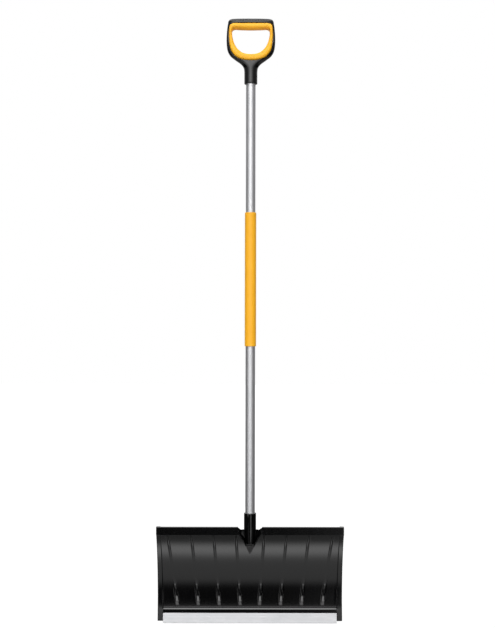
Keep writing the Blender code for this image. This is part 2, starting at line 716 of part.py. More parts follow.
def build_soft_grip():
    """Ring between the hand opening and the frame, round in section."""
    outer = mirrored_loop(through(GRIP_OUTLINE, 3))
    inner = mirrored_loop(through(HAND_OUTLINE, 3))
    steps = 14
    rings = []
    for (ox, oz), (ix, iz) in zip(outer, inner):
        bar_share = smoothstep((iz - BAR_BLEND_Z) / BAR_BLEND_LENGTH)
        depth = GRIP_SIDE_DEPTH + (GRIP_BAR_DEPTH - GRIP_SIDE_DEPTH) * bar_share
        ring = []
        for i in range(steps):
            angle = math.tau * (i + 0.5) / steps
            c, s = math.cos(angle), math.sin(angle)
            share = 0.5 + 0.5 * math.copysign(abs(c) ** (2.0 / GRIP_SQUARE), c)
            fwd = depth * math.copysign(abs(s) ** (2.0 / GRIP_SQUARE), s)
            ring.append(place(ix + (ox - ix) * share, fwd, iz + (oz - iz) * share))
        rings.append(ring)
    return object_from("handle_softgrip", loop_loft(rings), "orange_soft_grip")


def main():
    clear_scene()
    build_blade()
    build_strip()
    build_rivets()
    build_tube()
    build_sleeve()
    build_plug("tube_plug_lower", LOWER_PLUG, BLADE_SCREW_Z)
    build_plug("tube_plug_upper", UPPER_PLUG, HANDLE_SCREW_Z)
    for number, z in enumerate(BLADE_SCREW_Z, 1):
        build_screw(f"socket_screw_{number}", z, SOCKET_R)
    build_screw("handle_screw", HANDLE_SCREW_Z[0], FRAME_SOCKET_DEPTH)
    build_handle_frame()
    build_soft_grip()


main()
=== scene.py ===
# %% [markdown]
# # A snow pusher, piece by piece
# This lesson dresses a measured frame: a wide black blade, an aluminium shaft with an orange sleeve,
# and a closed D-handle. The frame says where each piece goes and how much room it takes up. Each fine
# piece starts from that, adds its own sizes, and then stands for the plain solid of the same name.

# %% Load the frame
import math

import bmesh
import bpy
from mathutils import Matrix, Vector


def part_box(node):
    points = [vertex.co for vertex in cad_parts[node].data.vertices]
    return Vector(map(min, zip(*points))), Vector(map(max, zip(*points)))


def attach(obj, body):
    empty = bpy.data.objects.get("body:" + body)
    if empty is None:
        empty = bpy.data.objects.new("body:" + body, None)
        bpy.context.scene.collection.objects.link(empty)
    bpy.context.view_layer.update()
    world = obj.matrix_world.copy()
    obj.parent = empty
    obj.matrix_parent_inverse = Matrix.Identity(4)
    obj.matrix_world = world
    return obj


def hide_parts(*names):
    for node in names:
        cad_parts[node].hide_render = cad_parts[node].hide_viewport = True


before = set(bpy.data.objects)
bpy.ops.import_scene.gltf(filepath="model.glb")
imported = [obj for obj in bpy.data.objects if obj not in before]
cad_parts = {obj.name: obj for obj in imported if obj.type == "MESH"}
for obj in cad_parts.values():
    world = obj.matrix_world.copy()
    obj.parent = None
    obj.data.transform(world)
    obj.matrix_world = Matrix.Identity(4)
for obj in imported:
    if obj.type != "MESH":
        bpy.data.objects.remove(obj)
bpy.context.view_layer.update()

print("frame holds", len(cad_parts), "nodes")

# %% [markdown]
# ## Units, colours and nodes
# Shapes are drawn in millimetres as (x, fwd, z): across the blade, forward of the shaft's axis, and up.
# One function turns such a point into the scene's metres. One more turns a printed sRGB colour into the
# linear one that shaders want, and one adds a node with its settings and links.

# %% Helpers for points, colours and nodes
MM = 0.001
GAP = 0.3                   # clearance that touching pieces keep
QUARTER = 0.5 * math.pi     # a quarter turn


def middle(node):
    low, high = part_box(node)
    return 0.5 * (low + high)


SHAFT_Y = middle("shaft_tube").y / MM


def place(x, fwd, z):
    """Scene position, in metres, of a point in the lesson's millimetres."""
    return Vector((x * MM, (SHAFT_Y - fwd) * MM, z * MM))


def linear(hex_colour):
    """Linear RGBA of an sRGB hex colour such as #f6b233."""
    values = [int(hex_colour[i:i + 2], 16) / 255 for i in (1, 3, 5)]
    return (*[v / 12.92 if v <= 0.04045 else ((v + 0.055) / 1.055) ** 2.4 for v in values], 1.0)


def add(tree, kind, inputs=None, **settings):
    """Add a node, set its properties, and fill its inputs with values or links."""
    made = tree.nodes.new(kind)
    for name, value in settings.items():
        setattr(made, name, value)
    for key, value in (inputs or {}).items():
        if isinstance(value, bpy.types.Node):
            value = value.outputs[0]
        if isinstance(value, bpy.types.NodeSocket):
            tree.links.new(value, made.inputs[key])
        else:
            made.inputs[key].default_value = value
    return made


def spread(low, high, count):
    return [low + (high - low) * i / (count - 1) for i in range(count)]


def smoothstep(value):
    value = min(max(value, 0.0), 1.0)
    return value * value * (3.0 - 2.0 * value)


def mix(a, b, share):
    return a + (b - a) * share


def circle(radius, steps, shift=0.0):
    """Points (u, v) round a circle; shift moves them on by that share of a step."""
    angles = [math.tau * (i + shift) / steps for i in range(steps)]
    return [(radius * math.cos(angle), radius * math.sin(angle)) for angle in angles]


print("shaft axis lies", round(SHAFT_Y, 1), "mm behind the scraper's edge")

# %% [markdown]
# ## Skins
# A moulding or an extrusion is one skin with rounded edges. Rings of points joined to their neighbours
# give such a skin with even, clean faces, which is why most pieces here are lofted, and only openings
# are cut with Booleans. Corners are eased in the outline itself, so that every edge catches some light.

# %% Helpers for skins
SMOOTH_DEGREES = 32.0       # edges that turn less than this are shaded as one surface


def shade(mesh):
    mesh.shade_smooth()
    mesh.set_sharp_from_angle(angle=math.radians(SMOOTH_DEGREES))


def finish_mesh(mesh):
    """Point the faces outwards and shade round sides smooth."""
    bm = bmesh.new()
    bm.from_mesh(mesh)
    bmesh.ops.recalc_face_normals(bm, faces=bm.faces)
    bm.to_mesh(mesh)
    bm.free()
    shade(mesh)


def add_piece(name, mesh):
    piece = bpy.data.objects.new(name, mesh)
    bpy.context.scene.collection.objects.link(piece)
    return piece


def skin(name, rings, loop=False):
    """Join closed rings of points; the ends are capped, or joined when loop is set."""
    count = len(rings[0])
    points = [tuple(point) for ring in rings for point in ring]
    faces = []
    for k in range(len(rings) if loop else len(rings) - 1):
        near, far = k * count, (k + 1) % len(rings) * count
        for i in range(count):
            j = (i + 1) % count
            faces.append((near + i, near + j, far + j, far + i))
    if not loop:
        faces.append(tuple(range(count)))
        faces.append(tuple(range(len(points) - count, len(points))))
    mesh = bpy.data.meshes.new(name)
    mesh.from_pydata(points, [], faces)
    finish_mesh(mesh)
    return add_piece(name, mesh)


def eased(corners, steps=4):
    """Outline through corners (u, v, cut): a cut above zero rounds the corner that far back.

    One more point on each side, half a cut further on, keeps the flats beside it flat in the shading.
    """
    outline = []
    for k, (u, v, cut) in enumerate(corners):
        if not cut:
            outline.append((u, v))
            continue
        here = Vector((u, v))
        before = (Vector(corners[k - 1][:2]) - here).normalized() * cut
        after = (Vector(corners[(k + 1) % len(corners)][:2]) - here).normalized() * cut
        outline.append(tuple(here + before * 1.5))
        for step in range(steps + 1):
            s = step / steps
            outline.append(tuple(here + before * (1 - s) ** 2 + after * s * s))
        outline.append(tuple(here + after * 1.5))
    return outline


def turned(name, corners, steps=128, hollow=True):
    """Turn an outline of (radius, z, cut) corners about the shaft's axis.

    A hollow shape's outline is closed; a solid one's runs from the axis round to the axis.
    """
    circles = [[place(x, fwd, z) for x, fwd in circle(r, steps, 0.5)] for r, z in eased(corners)]
    if not hollow:
        return skin(name, circles)
    return skin(name, [list(outline) for outline in zip(*circles)], loop=True)


def plain_mesh(piece, name):
    """Replace a piece and its modifiers by one plain evaluated mesh."""
    evaluated = piece.evaluated_get(bpy.context.evaluated_depsgraph_get())
    mesh = bpy.data.meshes.new_from_object(evaluated)
    mesh.name = name
    piece.modifiers.clear()
    piece.data = mesh
    piece.name = name
    return piece


def cut_and_join(piece, steps):
    """Apply a list of (operation, tool object) Booleans and drop the tools."""
    for operation, tool in steps:
        boolean = piece.modifiers.new(tool.name, "BOOLEAN")
        boolean.operation = operation
        boolean.object = tool
    plain_mesh(piece, piece.name)
    for _, tool in steps:
        bpy.data.objects.remove(tool)
    shade(piece.data)
    return piece


def with_nodes(piece, tree, values):
    """Run a Geometry Nodes tree on a piece, with values for its named inputs."""
    modifier = piece.modifiers.new(tree.name, "NODES")
    modifier.node_group = tree
    for item in tree.interface.items_tree:
        if item.item_type == "SOCKET" and item.in_out == "INPUT" and item.name in values:
            modifier[item.identifier] = values[item.name]
    return plain_mesh(piece, piece.name)


def new_tree(name, sockets):
    """A Geometry Nodes tree with a geometry input, named inputs and a geometry output."""
    tree = bpy.data.node_groups.new(name, "GeometryNodeTree")
    tree.interface.new_socket("Geometry", in_out="INPUT", socket_type="NodeSocketGeometry")
    for socket, kind in sockets:
        tree.interface.new_socket(socket, in_out="INPUT", socket_type=kind)
    tree.interface.new_socket("Geometry", in_out="OUTPUT", socket_type="NodeSocketGeometry")
    return tree, tree.nodes.new("NodeGroupInput"), tree.nodes.new("NodeGroupOutput")


print("helpers ready")

# %% [markdown]
# ## Black polypropylene
# The blade is one injection moulding of black polypropylene. Its mould is polished on the hollow side, so
# the face is glossy, but a moulding this size is never flat: sink and flow leave a slow waviness, and snow
# and grit leave fine scratches that run the way the tool is pushed, up and down the blade.

# %% Black moulded polypropylene
def new_material(name, colour, roughness, metallic=0.0, ior=None):
    """A Principled material; returns it with its tree and its shader."""
    made = bpy.data.materials.new(name)
    made.use_nodes = True
    shader = made.node_tree.nodes["Principled BSDF"]
    shader.inputs["Base Color"].default_value = linear(colour)
    shader.inputs["Roughness"].default_value = roughness
    shader.inputs["Metallic"].default_value = metallic
    if ior:
        shader.inputs["IOR"].default_value = ior
    made.diffuse_color = linear(colour)
    return made, made.node_tree, shader


def per_mm(size):
    """Noise scale whose features are about size millimetres across, on coordinates in metres."""
    return 1.0 / (size * MM)


def blade_plastic():
    made, tree, shader = new_material("moulded_black_polypropylene", "#030303", 0.14, ior=1.49)
    where = add(tree, "ShaderNodeTexCoord").outputs["Object"]
    # slow flow marks: the black is a touch greyer where the melt cooled first
    flow = add(tree, "ShaderNodeTexNoise", {"Vector": where, "Scale": per_mm(70), "Detail": 3.0})
    tint = add(tree, "ShaderNodeMix", {0: flow, 6: linear("#020202"), 7: linear("#050506")},
               data_type="RGBA")
    tree.links.new(tint.outputs[2], shader.inputs["Base Color"])
    # scratches 0.8 mm wide and about 60 mm long, up and down the blade
    lengthened = add(tree, "ShaderNodeMapping", {"Vector": where, "Scale": (1.0, 0.2, 0.014)})
    scratch = add(tree, "ShaderNodeTexNoise", {"Vector": lengthened, "Scale": per_mm(0.8), "Detail": 2.0})
    worn = add(tree, "ShaderNodeMapRange", {"Value": scratch, 1: 0.56, 2: 0.78, 3: 0.14, 4: 0.2})
    tree.links.new(worn.outputs[0], shader.inputs["Roughness"])
    # orange peel of about 2 mm, left by the mould's polish
    peel = add(tree, "ShaderNodeTexNoise", {"Vector": where, "Scale": per_mm(2.2), "Detail": 2.0})
    bump = add(tree, "ShaderNodeBump", {"Height": peel, "Strength": 0.1, "Distance": 0.008 * MM})
    marks = add(tree, "ShaderNodeBump", {"Height": worn, "Normal": bump, "Strength": 0.05,
                                         "Distance": 0.01 * MM}, invert=True)
    tree.links.new(marks.outputs[0], shader.inputs["Normal"])
    return made


BLADE_PLASTIC = blade_plastic()
print("made", BLADE_PLASTIC.name)

# %% [markdown]
# The handle's frame comes from a mould whose wall was eroded by sparks. That leaves a fine, even grain
# that scatters light, so the same black reads as satin and a little greyer. Hands polish its ridges.

# %% Spark-grained black polypropylene for the handle
def handle_plastic():
    made, tree, shader = new_material("spark_grained_black_polypropylene", "#060607", 0.24, ior=1.49)
    where = add(tree, "ShaderNodeTexCoord").outputs["Object"]
    grain = add(tree, "ShaderNodeTexNoise", {"Vector": where, "Scale": per_mm(0.7), "Detail": 3.0})
    handled = add(tree, "ShaderNodeTexNoise", {"Vector": where, "Scale": per_mm(24), "Detail": 2.0})
    sheen = add(tree, "ShaderNodeMapRange", {"Value": handled, 1: 0.35, 2: 0.65, 3: 0.21, 4: 0.28})
    tree.links.new(sheen.outputs[0], shader.inputs["Roughness"])
    bump = add(tree, "ShaderNodeBump", {"Height": grain, "Strength": 0.05, "Distance": 0.02 * MM})
    tree.links.new(bump.outputs[0], shader.inputs["Normal"])
    return made


HANDLE_PLASTIC = handle_plastic()
print("made", HANDLE_PLASTIC.name)

# %% [markdown]
# The soft grip is a thermoplastic elastomer, moulded over the frame: an orange yellow with a dull,
# slightly sticky skin. The sleeve on the shaft is extruded from a stiffer plastic of nearly the same
# colour. Both are clouded by a darker shade of themselves, as pigment never mixes evenly, and both have a
# fine grain.

# %% Orange elastomer and orange sleeve
def orange_plastic(name, colour, shade, roughness, grain_mm, depth_mm):
    made, tree, shader = new_material(name, colour, roughness, ior=1.5)
    where = add(tree, "ShaderNodeTexCoord").outputs["Object"]
    cloud = add(tree, "ShaderNodeTexNoise", {"Vector": where, "Scale": per_mm(30), "Detail": 4.0})
    share = add(tree, "ShaderNodeMapRange", {"Value": cloud, 1: 0.35, 2: 0.7})
    tint = add(tree, "ShaderNodeMix", {0: share, 6: linear(colour), 7: linear(shade)}, data_type="RGBA")
    tree.links.new(tint.outputs[2], shader.inputs["Base Color"])
    gloss = add(tree, "ShaderNodeMapRange", {"Value": cloud, 1: 0.3, 2: 0.7, 3: roughness - 0.04,
                                             4: roughness + 0.05})
    tree.links.new(gloss.outputs[0], shader.inputs["Roughness"])
    grain = add(tree, "ShaderNodeTexNoise", {"Vector": where, "Scale": per_mm(grain_mm), "Detail": 3.0})
    bump = add(tree, "ShaderNodeBump", {"Height": grain, "Strength": 0.04, "Distance": depth_mm * MM})
    tree.links.new(bump.outputs[0], shader.inputs["Normal"])
    return made


SOFT_GRIP = orange_plastic("overmoulded_orange_elastomer", "#f8b71c", "#f4b017",
                           roughness=0.5, grain_mm=0.9, depth_mm=0.03)
SLEEVE = orange_plastic("extruded_orange_sleeve", "#f0ae18", "#eba812",
                        roughness=0.5, grain_mm=0.6, depth_mm=0.02)
print("made", SOFT_GRIP.name, "and", SLEEVE.name)

# %% [markdown]
# ## Aluminium and steel
# The shaft is drawn through a die, which leaves fine lines along it, and then satin anodised: the lines
# spread its highlight sideways. The scraper is an extrusion left as it came from the press, with die
# lines along its length and scratches where it meets the ground. Screws are zinc plated, with a faint
# mottle from the bath.

# %% Metals
def lined_metal(name, colour, shade, roughness, line_mm, stretch, depth_mm):
    """Metal with fine lines of a width and depth in mm; stretch, the Mapping's scale, draws them out."""
    made, tree, shader = new_material(name, colour, roughness, metallic=1.0)
    where = add(tree, "ShaderNodeTexCoord").outputs["Object"]
    drawn = add(tree, "ShaderNodeMapping", {"Vector": where, "Scale": stretch})
    lines = add(tree, "ShaderNodeTexNoise", {"Vector": drawn, "Scale": per_mm(line_mm), "Detail": 3.0})
    cloud = add(tree, "ShaderNodeTexNoise", {"Vector": where, "Scale": per_mm(45), "Detail": 3.0})
    share = add(tree, "ShaderNodeMapRange", {"Value": cloud, 1: 0.3, 2: 0.7})
    tint = add(tree, "ShaderNodeMix", {0: share, 6: linear(colour), 7: linear(shade)}, data_type="RGBA")
    tree.links.new(tint.outputs[2], shader.inputs["Base Color"])
    spread_out = add(tree, "ShaderNodeMapRange", {"Value": lines, 1: 0.3, 2: 0.7, 3: roughness - 0.05,
                                                  4: roughness + 0.06})
    tree.links.new(spread_out.outputs[0], shader.inputs["Roughness"])
    bump = add(tree, "ShaderNodeBump", {"Height": lines, "Strength": 0.3, "Distance": depth_mm * MM})
    tree.links.new(bump.outputs[0], shader.inputs["Normal"])
    return made


TUBE_METAL = lined_metal("satin_anodised_drawn_aluminium", "#cfcfd1", "#c8c9cb",
                         roughness=0.52, line_mm=0.35, stretch=(1, 1, 0.004), depth_mm=0.004)
STRIP_METAL = lined_metal("mill_finish_extruded_aluminium", "#afafb1", "#a8a9ab",
                          roughness=0.42, line_mm=0.4, stretch=(0.006, 1, 1), depth_mm=0.006)
RIVET_METAL = lined_metal("set_aluminium_rivet", "#cfcfd2", "#c3c4c8",
                          roughness=0.34, line_mm=0.6, stretch=(1, 1, 1), depth_mm=0.02)
SCREW_METAL = lined_metal("zinc_plated_steel", "#b9bcc2", "#a9adb3",
                          roughness=0.32, line_mm=0.5, stretch=(1, 1, 1), depth_mm=0.02)
print("made four metals")

# %% [markdown]
# The plugs inside the tube's ends are rough black polyethylene. They hardly show, so a plain grain does.

# %% Plug polyethylene
def plug_plastic():
    made, tree, shader = new_material("moulded_black_polyethylene", "#1c1c1c", 0.55, ior=1.51)
    where = add(tree, "ShaderNodeTexCoord").outputs["Object"]
    grain = add(tree, "ShaderNodeTexNoise", {"Vector": where, "Scale": per_mm(1.2), "Detail": 3.0})
    dull = add(tree, "ShaderNodeMapRange", {"Value": grain, 3: 0.5, 4: 0.62})
    tree.links.new(dull.outputs[0], shader.inputs["Roughness"])
    bump = add(tree, "ShaderNodeBump", {"Height": grain, "Strength": 0.3, "Distance": 0.05 * MM})
    tree.links.new(bump.outputs[0], shader.inputs["Normal"])
    return made


PLUG_PLASTIC = plug_plastic()
print("made", PLUG_PLASTIC.name)

# %% [markdown]
# ## The blade's sheet
# The sheet is bent to an arc that tightens below its deepest line. A lip stiffens its top, a bar below
# holds the scraper, and a proud post closes each side. All of that is one moulding, so it is lofted in
# one go from outlines set side by side: the sheet's outline in the middle and the post's at the ends,
# with a few blended ones where the post's wall rises.

# %% Sizes of the blade
BLADE_LOW, BLADE_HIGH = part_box("blade")
HALF_WIDTH = BLADE_HIGH.x / MM
LIP_TOP = 267.0
LIP_FWD = SHAFT_Y - BLADE_LOW.y / MM
LIP_BOTTOM = 244.6
LIP_DEPTH = 6.5
SHEET_FWD = 18.9            # front of the sheet at its deepest line
DEEPEST_Z = 64.0
UPPER_RADIUS = 350.0
LOWER_RADIUS = 220.0
SHEET_WALL = 3.5
LOW_DEG, HIGH_DEG = -6.2, 31.2
FOOT_DEG = -6.9             # below this the posts run straight down
POST_PROUD = 5.0
POST_BACK = 9.0
POST_BOTTOM = BLADE_LOW.z / MM
POST_INNER = 233.3
POST_BACK_FOOT_DEG = -15.2  # the post's back leaves the arc here and runs straight down
LEDGE_TOP = 38.5
LEDGE_BEVEL = (2.4, 3.0)    # back and down from the ledge's front edge

# the scraper's plane leans with the sheet's foot
STRIP_LOW, STRIP_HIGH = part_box("scraper_strip")
STRIP_FWD = 30.5
STRIP_LEAN = math.radians(9.0)
STRIP_FRONT, STRIP_BACK = 3.0, -4.6
STRIP_HEIGHT, STRIP_BACK_HEIGHT = 26.0, 18.0
STRIP_FRONT_WALL, STRIP_BACK_WALL = 2.0, 1.6
STRIP_EDGE = 5.0            # below this the extrusion is solid
BAR_FRONT, BAR_BACK = 1.9, -4.2


def scoop(degrees, ahead):
    """Point (fwd, z) at an angle up the sheet's arc, ahead of its front face."""
    radius = UPPER_RADIUS if degrees >= 0.0 else LOWER_RADIUS
    angle = math.radians(degrees)
    return (SHEET_FWD + radius - (radius - ahead) * math.cos(angle),
            DEEPEST_Z + (radius - ahead) * math.sin(angle))


def strip_plane(s, t):
    """Point (fwd, z) of the scraper's plane: s in front of it, t up along it."""
    return (STRIP_FWD + s * math.cos(STRIP_LEAN) - t * math.sin(STRIP_LEAN),
            s * math.sin(STRIP_LEAN) + t * math.cos(STRIP_LEAN))


FRONT_ROWS = spread(LOW_DEG + 0.6, HIGH_DEG - 0.6, 72)
BACK_ROWS = spread(HIGH_DEG - 0.9, LOW_DEG + 0.9, 44)
print("blade", round(2 * HALF_WIDTH), "mm wide,", round(LIP_FWD), "mm from shaft to lip")

# %% Outlines of the sheet and of a post
def sheet_corners():
    """Outline of the blade between its posts: tongue, bar, sheet and lip."""
    tongue_front = STRIP_FRONT - STRIP_FRONT_WALL - GAP
    tongue_back = STRIP_BACK + STRIP_BACK_WALL + GAP
    bar_fwd, bar_low = strip_plane(BAR_FRONT, STRIP_HEIGHT + GAP)
    lip_back = LIP_FWD - LIP_DEPTH
    return [
        (*strip_plane(tongue_front, STRIP_EDGE + GAP), 0.4),
        (*strip_plane(tongue_front, STRIP_HEIGHT + GAP), 0.3),
        (bar_fwd, bar_low, 0.5),
        (bar_fwd, LEDGE_TOP - LEDGE_BEVEL[1], 0.5),
        (bar_fwd - LEDGE_BEVEL[0], LEDGE_TOP, 0.4),
        (*scoop(LOW_DEG, 0.0), 0.4),
        *[(*scoop(deg, 0.0), 0.0) for deg in FRONT_ROWS],
        (*scoop(HIGH_DEG, 0.0), 1.6),
        (LIP_FWD, LIP_BOTTOM, 0.9),
        (LIP_FWD, LIP_TOP, 1.2),
        (lip_back, LIP_TOP, 1.6),
        (lip_back, LIP_BOTTOM + 4.0, 1.2),
        (*scoop(HIGH_DEG, -SHEET_WALL), 1.2),
        *[(*scoop(deg, -SHEET_WALL), 0.0) for deg in BACK_ROWS],
        (*scoop(LOW_DEG, -SHEET_WALL), 1.0),
        (*strip_plane(BAR_BACK, LEDGE_TOP - 4.0), 1.0),
        (*strip_plane(BAR_BACK, STRIP_BACK_HEIGHT + GAP), 0.4),
        (*strip_plane(tongue_back, STRIP_BACK_HEIGHT + GAP), 0.3),
        (*strip_plane(tongue_back, STRIP_EDGE + GAP), 0.4),
    ]


def post_corners(inset):
    """Outline of a post, corner for corner like the sheet's; inset shrinks it for the rounded end."""
    proud, behind = POST_PROUD - inset, -POST_BACK + inset
    low, top = POST_BOTTOM + inset, LIP_TOP - inset
    lip_front, lip_back = LIP_FWD - inset, LIP_FWD - POST_PROUD - POST_BACK + inset
    foot_fwd, foot_z = scoop(FOOT_DEG, proud)
    bottom_fwd = foot_fwd + (foot_z - low) * math.tan(math.radians(-FOOT_DEG))
    front_foot = [(mix(bottom_fwd, foot_fwd, share), mix(low, foot_z, share))
                  for share in spread(0.0, 1.0, 6)]
    back_foot = [scoop(deg, behind) for deg in spread(LOW_DEG - 0.9, POST_BACK_FOOT_DEG, 5)]
    return [
        (front_foot[0][0], low, 1.0),
        *[(fwd, z, 1.0) for fwd, z in front_foot[1:]],
        *[(*scoop(deg, proud), 0.0) for deg in FRONT_ROWS],
        (*scoop(HIGH_DEG, proud), 1.2),
        (lip_front, LIP_BOTTOM + 0.4, 1.2),
        (lip_front, top, 1.2),
        (lip_back, top, 1.6),
        (lip_back, LIP_BOTTOM + 6.0, 1.2),
        (*scoop(HIGH_DEG, behind), 1.2),
        *[(*scoop(deg, behind), 0.0) for deg in BACK_ROWS],
        *[(fwd, z, 1.0) for fwd, z in back_foot[:-1]],
        (back_foot[-1][0], low, 1.0),
    ]


sheet_outline = eased(sheet_corners())
post_outline = eased(post_corners(0.0))
print(len(sheet_outline), "points round the sheet and", len(post_outline), "round a post")

# %% Loft the blank
GROOVE_FIRST, GROOVE_PITCH = 26.0, 56.2
GROOVES_PER_SIDE = 4
GROOVE_HALF_MOUTH = 5.6
GROOVE_COLUMN_STEP = 0.7    # between the columns that shape a groove's walls
# how far the post's wall has risen at each distance from its line
POST_RISE = ((-1.6, 0.0), (-1.1, 0.015), (-0.6, 0.06), (-0.25, 0.14), (0.0, 0.26), (0.2, 0.72),
             (0.45, 0.86), (0.8, 0.95), (1.3, 0.99), (2.0, 1.0))
END_ROUND = 1.3


def between(start, end, count):
    """Places between two ends, both left out."""
    return spread(start, end, count + 2)[1:-1]


def sheet_places():
    """Distances from the middle of the sheet's columns on one side: close together at each groove."""
    across = [GROOVE_HALF_MOUTH + 1.2, *spread(GROOVE_HALF_MOUTH, GROOVE_COLUMN_STEP, 8)]
    steps = [-offset for offset in across] + [0.0] + across[::-1]
    places = [0.0, *between(0.0, GROOVE_FIRST + steps[0], 3)]
    for number in range(GROOVES_PER_SIDE):
        foot = GROOVE_FIRST + GROOVE_PITCH * number
        places += [foot + step for step in steps]
        if number < GROOVES_PER_SIDE - 1:
            places += between(foot + steps[-1], foot + GROOVE_PITCH + steps[0], 5)
        else:
            places += between(foot + steps[-1], POST_INNER + POST_RISE[0][0], 3)
    return places


def blade_columns():
    """(distance from the middle, outline) of every column on one side, from the middle out."""
    columns = [(q, sheet_outline) for q in sheet_places()]
    for step, rise in POST_RISE:
        outline = [(mix(a[0], b[0], rise), mix(a[1], b[1], rise))
                   for a, b in zip(sheet_outline, post_outline)]
        columns.append((POST_INNER + step, outline))
    last = HALF_WIDTH - END_ROUND
    columns += [(q, post_outline) for q in spread(POST_INNER + POST_RISE[-1][0], last, 5)[1:]]
    for step in range(1, 6):
        angle = QUARTER * step / 5
        inset = END_ROUND * (1.0 - math.cos(angle))
        columns.append((last + END_ROUND * math.sin(angle), eased(post_corners(inset))))
    return columns


def blade_blank():
    half = blade_columns()
    both = [(-q, outline) for q, outline in reversed(half[1:])] + half
    return skin("blade_fine", [[place(q, fwd, z) for fwd, z in outline] for q, outline in both])


blade = blade_blank()
print("blank has", len(blade.data.polygons), "faces")

# %% [markdown]
# ## Pressing the grooves
# Eight grooves stiffen the sheet. They follow a rule: evenly spaced at the foot and fanned out at the head,
# wide and deep at the foot, almost flat half-way, and a narrow V at the head. A Geometry Nodes tree states
# that rule once, in two moves: it fans the blank's columns out towards the top, then pushes the floors of
# the grooves back along the arc's radius. Its inputs are the sizes that a designer would want to change.

# %% Sizes of the grooves
GROOVE_HALF_FLOOR = 2.8     # at the foot; at the head the groove narrows to a V
HEAD_HALF_FLOOR, HEAD_HALF_MOUTH = 0.2, 3.8
GROOVE_DEPTH = 4.4
GROOVE_FOOT_Z, GROOVE_HEAD_Z = 45.0, 242.0
GROOVE_LAST = 215.0         # no groove beyond this distance from the middle
# how far each column moves out at the heads, in mm, by its distance from the middle
FAN_WIDTH, FAN_SHIFT = 250.0, 25.0
FAN = ((0.0, 0.0), (18.0, 11.1), (34.0, 12.0), (82.2, 14.9), (138.4, 17.6), (188.0, 24.0),
       (201.0, FAN_SHIFT), (233.3, 3.1), (246.0, 0.0), (FAN_WIDTH, 0.0))
# share of the full depth, by the share of the height
GROOVE_PROFILE = ((0.0, 0.0), (0.06, 0.22), (0.18, 1.0), (0.3, 0.3), (0.42, 0.04), (0.56, 0.04),
                  (0.75, 0.3), (0.94, 0.72), (1.0, 0.0))
print(2 * GROOVES_PER_SIDE, "grooves, up to", GROOVE_DEPTH, "mm deep")

# %% A tree that fans and presses the sheet
def set_curve(node, points, handles="VECTOR"):
    """Put a float curve through (share, value) points, first and last at the ends."""
    curve = node.mapping.curves[0]
    curve.points[0].location = points[0]
    curve.points[1].location = points[-1]
    for point in points[1:-1]:
        curve.points.new(*point)
    for point in curve.points:
        point.handle_type = handles
    node.mapping.update()


